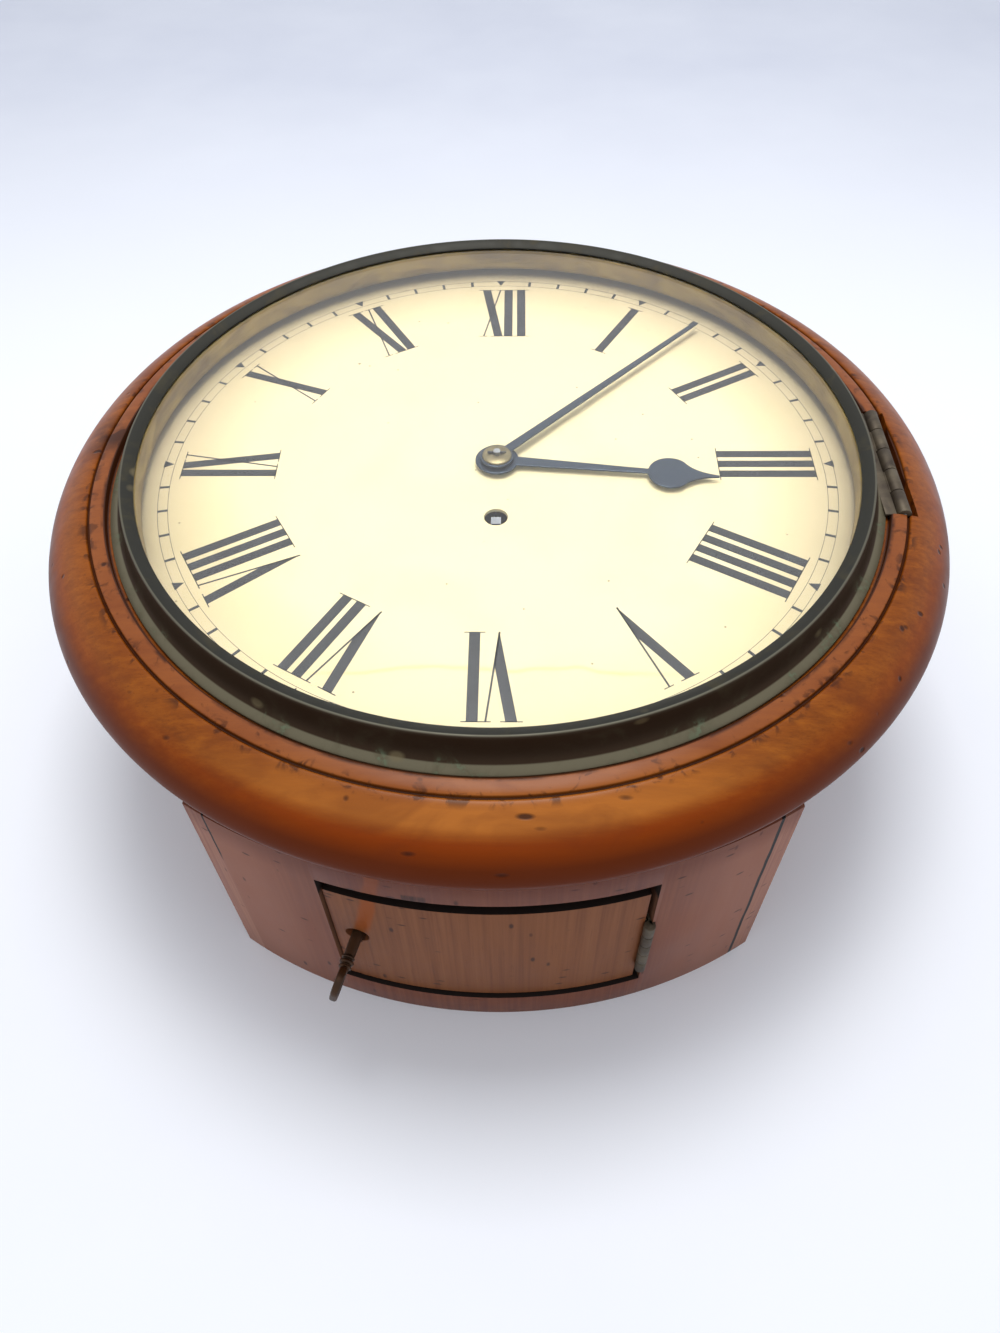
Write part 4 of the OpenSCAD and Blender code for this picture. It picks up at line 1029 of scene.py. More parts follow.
@dataclass(frozen=True)
class GiltWall(Finish):
    """Matt gilt brass of the sight ring, darker along its foot with dirt and painted shade."""

    pale: str = "95803f"
    deep: str = "715c2b"
    foot: str = "62522c"

    def draw(self, s: Sheet) -> None:
        """Draw soft clouds, with a dark line at the foot.

        Args:
            s: The sheet.
        """
        cloud = s.noise((45, 45, 120), 5.0, 0.6)
        fine = s.noise((420, 420, 900), 3.0)
        s.colour = s.mix(s.span(cloud, 0.36, 0.66), self.pale, self.deep)
        s.wash(s.span(fine, 0.5, 0.7, 0.0, 0.25), self.deep)
        # Dirt and painted shade: darker at the ring's foot, next to the dial.
        s.wash(s.span(s.axis("Z"), 0.1512, 0.1495, 0.0, 0.6), self.foot)
        s.dent(fine, 0.015, 0.4)
        s.coat(s.vary(cloud, 0.5, 0.62), 0.6)


@dataclass(frozen=True)
class DialPaint(Finish):
    """Cream paint of the dial, paler below, with specks and a faint old line."""

    cream: str = "dac89f"
    pale: str = "dccfa6"
    worn: str = "d4c592"
    line: str = "cdb57c"
    speck: str = "5d4a2c"
    bright_at: Triple = (12.0, -55.0, 0.0)
    line_up: Triple = (-115.0, 0.3, 1.4)
    line_across: Triple = (-2.0, 50.0, 26.0)
    # Tones of the painted shadow of the bezel near the rim.
    edge: tuple[tuple[float, str], ...] = (
        (0.0, "ffffff"), (0.58, "e1e0de"), (0.8, "d0cfce"), (0.95, "b6b3ae"),
    )

    def draw(self, s: Sheet) -> None:
        """Draw the paint's uneven tone, the painted shadow of the bezel along its edge, the line and the
        specks.

        Args:
            s: The sheet.
        """
        across, up = s.axis("X"), s.axis("Y")
        cloud = s.noise(16, 5.0, 0.6)
        s.colour = s.mix(s.span(s.reach(self.bright_at), 0.15, 0.06), self.cream, self.pale)
        s.wash(s.span(cloud, 0.46, 0.7, 0.0, 0.35), self.worn)
        # Painted shadow of the bezel and sight ring: darker towards the rim, strongest over the upper
        # part of the dial.
        edge = s.ramp(s.span(s.reach(), 0.11, 0.154), *self.edge)
        s.wash(s.span(up, -0.125, -0.05, 0.15, 1.0), edge, how=Blend.SHADE)
        ripple = s.vary(s.noise(18, 3.0), -0.003, 0.003)
        line = s.band(s.calc("ADD", up, ripple), *self.line_up)
        s.wash(s.times(line, s.band(across, *self.line_across)), self.line, 0.6)
        specks = s.most(s.specks(95, 0.06, 0.6), s.specks(42, 0.04, 0.6))
        s.wash(specks, self.speck, 0.75)
        s.dent(cloud, 0.05, 0.3)
        s.coat(s.vary(cloud, 0.55, 0.65), Specular_IOR_Level=0.1)


@dataclass(frozen=True)
class PrintedBlack(Finish):
    """Black paint of the numerals, thin in places."""

    black: str = "17181c"
    thin: str = "2d2e33"

    def draw(self, s: Sheet) -> None:
        """Draw black with faint thin places.

        Args:
            s: The sheet.
        """
        cloud = s.noise(130, 5.0)
        s.colour = s.mix(s.span(cloud, 0.52, 0.72, 0.0, 0.7), self.black, self.thin)
        s.coat(s.vary(cloud, 0.4, 0.55), Specular_IOR_Level=0.35)


@dataclass(frozen=True)
class ClearGlass(Finish):
    """Clear flat glass that lets the light through to the dial."""

    clear: Colour = (0.97, 0.98, 0.97, 1.0)

    def draw(self, s: Sheet) -> None:
        """Draw glass whose shadow is clear.

        Args:
            s: The sheet.
        """
        glass = s.shine(0.0, IOR=1.48, Transmission_Weight=1.0)
        clear = s.node("ShaderNodeBsdfTransparent", {"Color": self.clear}).outputs[0]
        shadow = s.node("ShaderNodeLightPath").outputs["Is Shadow Ray"]
        s.lay(s.node("ShaderNodeMixShader", {0: shadow, 1: glass, 2: clear}).outputs[0])


@dataclass(frozen=True)
class Twine(Finish):
    """Twisted gut."""

    dark: str = "7d6233"
    light: str = "c4a468"

    def draw(self, s: Sheet) -> None:
        """Draw slanting strands.

        Args:
            s: The sheet.
        """
        strands = s.noise((700, 300, 900), 3.0)
        s.colour = s.ramp(strands, (0.35, self.dark), (0.65, self.light))
        s.dent(strands, 0.1, 0.7)
        s.coat(0.5, Specular_IOR_Level=0.4)


@dataclass(frozen=True)
class StudioFloor(Finish):
    """Pale floor that grows a little greyer far behind the clock, as painted shade."""

    near: str = "f5f7fd"
    far: str = "d2d6e4"
    worn: str = "eceff8"

    def draw(self, s: Sheet) -> None:
        """Draw the floor's tone along Y, greyer far back as painted shade, with a trace of texture.

        Args:
            s: The sheet.
        """
        # Painted shade: the floor greys far behind the clock.
        s.colour = s.mix(s.span(s.axis("Y"), 0.25, 0.8), self.near, self.far)
        s.wash(s.vary(s.noise(6, 3.0), 0.0, 0.3), self.worn)
        s.coat(0.6, Specular_IOR_Level=0.2)


SURROUND_WOOD = PolishedMahogany("polished_mahogany")
FRONT_VENEER = CaseVeneer("front_veneer", "62342a", "72402f", "845038", True)
SIDE_VENEER = CaseVeneer("side_veneer", "7c4c3e", "976352", "ad7a60")
DOOR_VENEER = CaseVeneer("door_veneer", "6a3a20", "7e4a2a", "8d5834", True)
RAW_EDGE = SawnEdge("raw_edge_wood")
PEG_WOOD = PlainWood("peg_wood", "6a4a34", "93694a", (260, 260, 16))
PINE = PlainWood("pine_boards")
OLD_PINE = PlainWood("old_dark_pine", "1c110b", "2b1c12")
BEZEL_BRASS = BezelPatina("bezel_patina")
HINGE_BRASS = MottledMetal("hinge_brass", "5f5443", "3c3228", 0.5, 0.5, 90.0, 300)
SIGHT_GILT = GiltWall("sight_gilt")
CREAM = DialPaint("cream_dial_paint")
BLACK = PrintedBlack("numeral_black")
GLASS = ClearGlass("dial_glass")
BLUED = MottledMetal("blued_steel", "121318", "1b1d22", 0.4, 0.45, 55.0, 400, 0.2)
COLLET_BRASS = MottledMetal("collet_brass", "867b5b", "5c5239", 0.3, 0.8, 130.0, 500)
MOVEMENT_BRASS = MottledMetal("movement_brass")
BRIGHT_STEEL = MottledMetal("bright_steel", "a7a9ac", "7f8286", 0.28, 0.95, 50.0, (700, 700, 60))
KEY_METAL = MottledMetal("key_metal", "35200f", "4a2d14", 0.42, 0.6, 150.0, 200)
DARK_STEEL = MottledMetal("dark_steel", "2b2c2e", "3a3a3a", 0.34, 0.7, 200.0, 700)
OLD_IRON = MottledMetal("old_iron", "3a3029", "5a4130", 0.55, 0.6, 110.0, 200)
GUT = Twine("gut_line")
FLOOR = StudioFloor("studio_floor")


@dataclass
class Surround:
    """Turned wooden ring that carries the dial and bezel."""

    back: float = 120.0
    bore: float = 109.933
    dial_seat: float = FACE - 1.5
    rebate: float = 161.0
    bezel_seat: float = FACE + 4.5
    rim_in: Pair = (165.4, FACE + 8.1)
    rim_pull: Pair = (168.4, FACE + 8.2)
    groove_in: Pair = (171.8, FACE + 7.2)
    groove_out: Pair = (173.1, FACE + 6.7)
    groove_floor: float = FACE + 5.5
    roll_top: Pair = (173.7, FACE + 7.0)
    widest: Pair = (194.8, FACE - 13.5)
    back_edge: float = 186.2
    fullness: float = 1.5
    rounding: float = 0.35
    recess_low: Triple = (160.5, -39.15, 146.95)
    recess_high: Triple = (172.0, 27.15, 175.0)
    catch_low: Triple = (-164.2, -6.5, 140.7)
    catch_high: Triple = (-160.5, 6.5, 151.0)

    def curve(self, centre: Pair, reach: Pair, first: float, last: float, steps: int) -> list[Pair]:
        """Points of a flattened arc.

        Args:
            centre: The arc's centre.
            reach: How far it reaches across and up.
            first: Its first angle in degrees.
            last: Its last angle in degrees.
            steps: Number of its straight pieces.

        Returns:
            The points, both ends included.
        """
        power = 2 / self.fullness
        made = []
        for i in range(steps + 1):
            angle = math.radians(first + (last - first) * i / steps)
            across, up = max(math.cos(angle), 0.0) ** power, abs(math.sin(angle)) ** power
            made.append((centre[0] + reach[0] * across, centre[1] + reach[1] * up))
        return made

    def section(self) -> list[Pair]:
        """Draw the ring's section.

        Returns:
            Its corners, as radius and height.
        """
        top, wide = self.roll_top, self.widest
        roll = self.curve((top[0], wide[1]), (wide[0] - top[0], top[1] - wide[1]), 90, 0, 32)
        shoulder = (self.back_edge, wide[1])
        fall = self.curve(shoulder, (wide[0] - self.back_edge, self.back - wide[1]), 0, 90, 18)
        return [
            (self.bore, self.back),
            (self.bore, self.dial_seat),
            (self.rebate, self.dial_seat),
            (self.rebate, self.bezel_seat),
            (self.rim_in[0], self.bezel_seat),
            *bend(self.rim_in, self.rim_pull, self.groove_in, 6),
            (self.groove_in[0] + 0.2, self.groove_floor + 0.4),
            (self.groove_in[0] + 0.65, self.groove_floor),
            (self.groove_out[0] - 0.2, self.groove_floor + 0.4),
            self.groove_out,
            *roll,
            *fall[1:],
        ]

    def build(self) -> None:
        """Turn the ring and let in the hinge and the catch."""
        ring = Bench.lathe("turned_surround", self.section(), 288)
        Bench.soften(ring, self.rounding, 2, 40)
        Bench.cut(ring, Bench.block("recess", self.recess_low, self.recess_high))
        Bench.cut(ring, Bench.block("catch_slot", self.catch_low, self.catch_high))
        Bench.fit(ring, "case", SURROUND_WOOD, "mahogany", ["surround"])


@dataclass
class Bezel:
    """Glazed brass bezel that opens on its hinge at three o'clock."""

    foot: Pair = (163.7, FACE + 4.7)
    foot_edge: float = FACE + 6.15
    foot_in: float = 157.6
    cove: float = 160.5
    arris: Pair = (156.3, FACE + 19.2)
    sight: float = 151.4
    rim_top: float = FACE + 17.0
    glass_top: float = FACE + 16.2
    glass_low: float = FACE + 14.2
    glass_edge: float = 154.1
    glass_bevel: float = 0.3
    hinge: Pair = (166.5, 151.4)
    notch: float = 3.3
    notch_y: Pair = (-39.15, 27.15)
    wall: float = 0.9
    wall_low: float = FACE + 4.2
    flange: Pair = (FACE + 4.9, FACE + 5.7)

    def section(self) -> list[Pair]:
        """Draw the bezel's section, from the foot up its hollow side and down inside.

        Returns:
            Its corners, as radius and height.
        """
        x, z = self.arris
        low = (self.cove, self.foot_edge + 1.45)
        side = bend(low, (self.cove - 3.2, self.foot_edge + 2.9), (x + 0.5, z - 0.9), 16)
        nose = bend(side[-1], (x + 0.55, z + 0.05), (x - 0.7, z - 0.25), 5)
        return [
            self.foot,
            (self.foot[0], self.foot_edge - 0.3),
            (self.foot[0] - 0.3, self.foot_edge),
            *side,
            *nose[1:],
            (self.sight + 0.5, self.rim_top + 0.2),
            (self.sight, self.rim_top - 0.2),
            (self.sight, self.glass_top),
            (self.glass_edge + 0.2, self.glass_top),
            (self.glass_edge + 0.2, self.glass_low - 1.2),
            (self.foot_in - 2.0, self.foot[1] + 4.4),
            (self.foot_in, self.foot_edge),
            (self.foot_in, self.foot[1]),
        ]

    def wall_section(self) -> list[Pair]:
        """Draw the sight ring's section: its foot, its flange, and its lip under the glass.

        Returns:
            Its corners, as radius and height.
        """
        out, flange_out = self.sight + self.wall, self.foot_in - 0.1
        under, over = self.flange
        lip = self.glass_low - 0.8
        return [
            (self.sight, self.wall_low + 0.1),
            (self.sight + 0.2, self.wall_low),
            (out, self.wall_low),
            (out, under),
            (flange_out, under),
            (flange_out, over),
            (out, over),
            (out, lip),
            (self.glass_edge, lip),
            (self.glass_edge, self.glass_low - 0.02),
            (self.sight + 0.2, self.glass_low - 0.02),
            (self.sight, self.glass_low - 0.3),
        ]

    def build(self) -> None:
        """Make the bezel, the sight ring and the glass."""
        rim = Bench.lathe("cast_bezel", self.section(), 320)
        (x, z), (near, far) = self.hinge, self.notch_y
        Bench.cut(rim, Bench.rod("notch", self.notch, (x, near, z), (x, far, z)))
        Bench.fit(rim, "bezel_group", BEZEL_BRASS, "dark_brass", ["bezel"])
        wall = Bench.lathe("gilt_sight_ring", self.wall_section(), 288)
        Bench.fit(wall, "bezel_group", SIGHT_GILT, "gilt_brass", ["sight_ring"])
        edge, low, high, bevel = self.glass_edge, self.glass_low, self.glass_top, self.glass_bevel
        section = [
            (0, low), (edge - bevel, low), (edge, low + bevel),
            (edge, high - bevel), (edge - bevel, high), (0, high),
        ]
        pane = Bench.lathe("flat_glass", section, 192, open_ends=True)
        Bench.fit(pane, "bezel_group", GLASS, "clear_glass", ["glass"])


@dataclass
class Hinge:
    """What the two hinges share: five knuckles in a row, by turns on either leaf."""

    low: float
    pitch: float
    gap: float = 0.3
    moving: tuple[int, ...] = (1, 3)
    fixed: tuple[int, ...] = (0, 2, 4)

    def high(self) -> float:
        """Far end of the row."""
        return self.low + 5 * self.pitch

    def ends(self, places: Sequence[int]) -> list[Pair]:
        """Start and end of the knuckles at the given places along the row."""
        starts = [self.low + place * self.pitch + self.gap / 2 for place in places]
        return [(start, start + self.pitch - self.gap) for start in starts]


@dataclass
class BezelHinge(Hinge):
    """Hinge at three o'clock: one leaf on the bezel's foot, one let into the wood."""

    low: float = -38.75
    pitch: float = 13.1
    axis: Pair = (166.5, 151.4)
    radius: float = 3.0
    pin: float = 1.1
    leaf_top: float = 148.25
    leaf_low: float = 146.95
    leaf_in: float = 161.4
    plate: Pair = (151.3, 152.5)
    plate_x: Pair = (-8.0, -3.2)
    arm_low: float = -1.2

    def knuckles(self, places: Sequence[int]) -> list[Piece]:
        """Roll knuckles.

        Args:
            places: Their places along the hinge.

        Returns:
            The knuckles.
        """
        x, z = self.axis
        made = []
        for start, end in self.ends(places):
            knuckle = Bench.rod("knuckle", self.radius, (x, start, z), (x, end, z), 40)
            made.append(Bench.soften(knuckle, 0.3, 2))
        return made

    def build(self) -> None:
        """Make both leaves and the pin."""
        (x, z), high = self.axis, self.high()
        (under, over), (near, far) = self.plate, self.plate_x
        moving = self.knuckles(self.moving)
        plate = Bench.block("plate", (x + near, self.low, under), (x + far, high, over))
        moving.append(Bench.soften(plate, 0.35, 2))
        for start, end in self.ends(self.moving):
            arm = Bench.block("arm", (x + far - 0.1, start, z + self.arm_low), (x, end, over))
            moving.append(Bench.soften(arm, 0.2, 1))
        leaf = Bench.join("bezel_hinge_leaf", moving)
        Bench.fit(leaf, "bezel_group", HINGE_BRASS, "dark_brass", ["bezel_leaf"])
        edge = x + self.radius
        fixed = self.knuckles(self.fixed)
        bed = Bench.block("bed", (self.leaf_in, self.low, self.leaf_low), (edge, high, self.leaf_top))
        fixed.append(Bench.soften(bed, 0.25, 2))
        for start, end in self.ends(self.fixed):
            web = Bench.block("web", (x, start, self.leaf_low), (edge, end, z))
            fixed.append(Bench.soften(web, 0.2, 1))
        leaf = Bench.join("surround_hinge_leaf", fixed)
        Bench.fit(leaf, "case", HINGE_BRASS, "dark_brass", ["surround_leaf"])
        pin = Bench.rod("bezel_pin", self.pin, (x, self.low, z), (x, high, z), 24)
        Bench.soften(pin, 0.3, 2)
        Bench.fit(pin, "case", BRIGHT_STEEL, "dark_brass", ["bezel_hinge_pin"])


class Stroke(Enum):
    """Strokes that make up the numerals."""

    BAR = "I"
    VEE = "V"
    CROSS = "X"


@dataclass
class Dial:
    """Painted dial with its numerals, minute track and holes."""

    radius: float = 160.0
    thickness: float = 1.5
    centre_hole: float = 6.0
    winding_hole: float = 5.0
    winding_y: float = -33.488
    ink: Pair = (FACE, FACE + 0.03)
    track: Pair = (141.75, 146.0)
    track_line: float = 0.2
    tick: float = 1.35
    triangle: float = 2.3
    foot: float = 96.2
    head: float = 138.0
    bar: float = 4.25
    hair: float = 0.42
    fine: float = 0.75
    serif: float = 1.9
    cross_width: float = 10.8
    vee_width: float = 11.75
    vee_apex: float = 6.95
    vee_meet: float = 0.628
    noon_shift: float = 1.65
    hours: tuple[str, ...] = (
        "XII", "I", "II", "III", "IIII", "V", "VI", "VII", "VIII", "IX", "X", "XI",
    )

    def lean(self, top: float, low: float, wide: float) -> list[Pair]:
        """Slanting stroke of a width, from its left edge at the head to that at the foot."""
        return [(top, self.head), (top + wide, self.head), (low + wide, self.foot), (low, self.foot)]

    def hairline(self, start: float, end: float, at_head: bool) -> list[Pair]:
        """Serif across a stroke.

        Args:
            start: Left edge of the stroke.
            end: Its right edge.
            at_head: True at the numeral's head, false at its foot.

        Returns:
            The serif's corners.
        """
        edge = self.head if at_head else self.foot
        into = edge + (-self.hair if at_head else self.hair)
        left, right = start - self.serif, end + self.serif
        return [(left, edge), (right, edge), (right, into), (left, into)]

    def strokes(self, stroke: Stroke, left: float) -> tuple[list[list[Pair]], float]:
        """Outlines of one stroke of a numeral that stands upright.

        Args:
            stroke: The kind of stroke.
            left: Where the stroke begins.

        Returns:
            The outlines, and the stroke's width.
        """
        foot, head, bar, fine = self.foot, self.head, self.bar, self.fine
        serif = self.hairline
        if stroke is Stroke.BAR:
            ends = [serif(left, left + bar, at_head) for at_head in (True, False)]
            return [self.lean(left, left, bar), *ends], bar
        if stroke is Stroke.CROSS:
            wide = self.cross_width
            shapes = [
                self.lean(left, left + wide - bar, bar),
                self.lean(left + wide - 1.8, left + 1.0, fine),
                serif(left, left + bar, True),
                serif(left + wide - bar, left + wide, False),
                serif(left + wide - 1.9, left + wide - 1.3, True),
                serif(left + 0.9, left + 1.5, False),
            ]
            return shapes, wide
        wide, apex, share = self.vee_width, left + self.vee_apex, self.vee_meet
        meet = (left + bar + self.vee_apex * share, head + (foot - head) * share)
        right = left + wide
        shapes = [
            [(left, head), (left + bar, head), meet, (apex + 0.2, foot), (apex - 0.1, foot)],
            [(right - fine, head), (right, head), (apex + 0.2, foot), (apex - fine + 0.2, foot)],
            serif(left, left + bar, True),
            serif(right - self.hair, right, True),
        ]
        return shapes, wide

    @staticmethod
    def set_round(shapes: Iterable[Sequence[Pair]], degrees: float) -> list[list[Pair]]:
        """Turn outlines clockwise from twelve o'clock to their place on the dial."""
        sin, cos = math.sin(math.radians(degrees)), math.cos(math.radians(degrees))
        return [[(v * sin + u * cos, v * cos - u * sin) for u, v in shape] for shape in shapes]

    def numeral(self, hour: int) -> list[list[Pair]]:
        """Outlines of the numeral for an hour, in its place on the dial.

        Args:
            hour: The hour, nought for twelve.

        Returns:
            The corners of each outline.
        """
        gaps = {("I", "I"): 2.25, ("X", "I"): 0.6, ("I", "X"): 0.6, ("V", "I"): 2.3}
        letters = self.hours[hour]
        shapes: list[list[Pair]] = []
        left = 0.0
        for index, letter in enumerate(letters):
            if index:
                left += gaps[(letters[index - 1], letter)]
            more, width = self.strokes(Stroke(letter), left)
            shapes += more
            left += width
        middle = left / 2 - (self.noon_shift if hour == 0 else 0.0)
        return self.set_round([[(u - middle, v) for u, v in shape] for shape in shapes], 30 * hour)

    def ticks(self) -> list[list[Pair]]:
        """Draw the minute ticks, and a triangle at each five minutes.

        Returns:
            The corners of each outline.
        """
        (inner, outer), half, wide = self.track, self.tick / 2, self.triangle
        tick = [(-half, inner), (half, inner), (half, outer), (-half, outer)]
        triangle = [(-wide, outer + 0.5), (wide, outer + 0.5), (0, inner + 0.3)]
        shapes = []
        for minute in range(60):
            shapes += self.set_round([tick if minute % 5 else triangle], 6 * minute)
        return shapes

    def build(self) -> None:
        """Make the dial and all that is printed on it."""
        low, edge, corner = FACE - self.thickness, self.radius, 0.2
        section = [
            (0, low), (edge - corner, low), (edge, low + corner),
            (edge, FACE - corner), (edge - corner, FACE), (0, FACE),
        ]
        plate = Bench.lathe("painted_dial", section, 192, open_ends=True)
        for y, radius in ((0.0, self.centre_hole), (self.winding_y, self.winding_hole)):
            Bench.cut(plate, Bench.rod("drill", radius, (0, y, low - 2), (0, y, FACE + 2), 64))
        Bench.fit(plate, "case", CREAM, "dial_paint", ["dial"])
        shapes = [shape for hour in range(12) for shape in self.numeral(hour)]
        Bench.fit(Bench.plates("roman_numerals", shapes, *self.ink), "case", BLACK, "dial_paint")
        low, high = self.ink
        rings = []
        for radius in self.track:
            inner, outer = radius - self.track_line / 2, radius + self.track_line / 2
            rings.append(Bench.lathe("ring", [(inner, low), (outer, low), (outer, high), (inner, high)]))
        marks = Bench.plates("marks", self.ticks(), *self.ink)
        Bench.fit(Bench.join("minute_track", [marks, *rings]), "case", BLACK, "dial_paint")


@dataclass
class Hands:
    """Blued hands, the collet over them and the pin that holds them."""

    hour_angle: float = 96.75
    minute_angle: float = 44.0
    hour_z: Pair = (FACE + 2.0, FACE + 2.9)
    minute_z: Pair = (FACE + 3.9, FACE + 4.8)
    hour_boss: float = 9.4
    hour_bore: float = 4.62
    hour_shaft: Pair = (2.75, 1.4)
    disc_y: float = 75.0
    disc: float = 9.5
    tip_base: Pair = (7.41, 80.9)
    tip_pull: Pair = (1.6, 85.0)
    tip_end: Pair = (0.5, 96.0)
    minute_boss: float = 7.4
    minute_bore: float = 2.12
    minute_shaft: Pair = (2.15, 1.1)
    minute_end: float = 140.0
    rounding: float = 0.22
    collet: float = 6.4
    collet_hole: float = 1.6
    pin_radii: Pair = (0.55, 0.42)
    pin_length: float = 8.0
    pin_up: float = 1.85

    @staticmethod
    def boss(radius: float, half: float) -> list[Pair]:
        """Round boss, open where a shaft of that half width leaves it at the top."""
        side = math.degrees(math.acos(half / radius))
        return arc((0, 0), (radius, radius), 180 - side, 360 + side, 40)

    def hour_outline(self) -> list[Pair]:
        """Draw the hour hand: shaft, disc and ogee tip.

        Returns:
            Its corners as it points to twelve.
        """
        disc = arc((0, self.disc_y), (self.disc, self.disc), -81.5, 37.5, 22)
        tip = bend(self.tip_base, self.tip_pull, self.tip_end, 10)
        foot, top = self.hour_shaft
        half = [(top, self.disc_y - 9.4), *disc[1:], *tip[1:]]
        return [*self.boss(self.hour_boss, foot), *mirrored(half)]

    def blade(self, name: str, outline: Sequence[Pair], z: Pair, bore: float, angle: float) -> Piece:
        """Saw a hand from sheet, bore it, round its edges and set it to its angle.

        Args:
            name: Name of the piece.
            outline: Its corners as it points to twelve.
            z: Heights of its underside and its top.
            bore: Radius of its hole.
            angle: Where it points, in degrees clockwise from twelve.

        Returns:
            The hand.
        """
        hand = Bench.plates(name, [outline], *z)
        Bench.cut(hand, Bench.rod("drill", bore, (0, 0, z[0] - 2), (0, 0, z[1] + 2), 48))
        Bench.soften(hand, self.rounding, 2, 50)
        return Bench.place(hand, Matrix.Rotation(-math.radians(angle), 4, "Z"))

    def build(self) -> None:
        """Make the hands, the collet and the pin."""
        outline = self.hour_outline()
        hour = self.blade("spade_hour_hand", outline, self.hour_z, self.hour_bore, self.hour_angle)
        Bench.fit(hour, "hour_group", BLUED, "blued_steel", ["hour_hand"], 20.0)
        foot, top = self.minute_shaft
        outline = [*self.boss(self.minute_boss, foot), (top, self.minute_end), (-top, self.minute_end)]
        minute = self.blade(
            "long_minute_hand", outline, self.minute_z, self.minute_bore, self.minute_angle
        )
        Bench.fit(minute, "minute_group", BLUED, "blued_steel", ["minute_hand"], 20.0)
        low, hole = self.minute_z[1], self.collet_hole
        edge = low + 0.25
        dome = [(hole, low), (self.collet, low), (self.collet, edge)]
        dome += arc((hole, edge), (self.collet - hole, 0.95), 10, 90, 10)
        collet = Bench.lathe("domed_collet", dome, 64)
        Bench.fit(collet, "minute_group", COLLET_BRASS, "brass", ["hand_collet"])
        Bench.rest()
        thick, thin = (radius * MM for radius in self.pin_radii)
        bpy.ops.mesh.primitive_cone_add(
            vertices=24, radius1=thick, radius2=thin, depth=self.pin_length * MM
        )
        turn = Matrix.Rotation(math.radians(90), 4, "Y")
        over = Matrix.Translation((0, 0, (low + self.pin_up) * MM))
        pin = Bench.place(Bench.named("taper_hand_pin"), over @ turn)
        Bench.soften(pin, 0.12, 2)
        Bench.fit(pin, "centre_group", DARK_STEEL, "steel", ["hand_pin"])


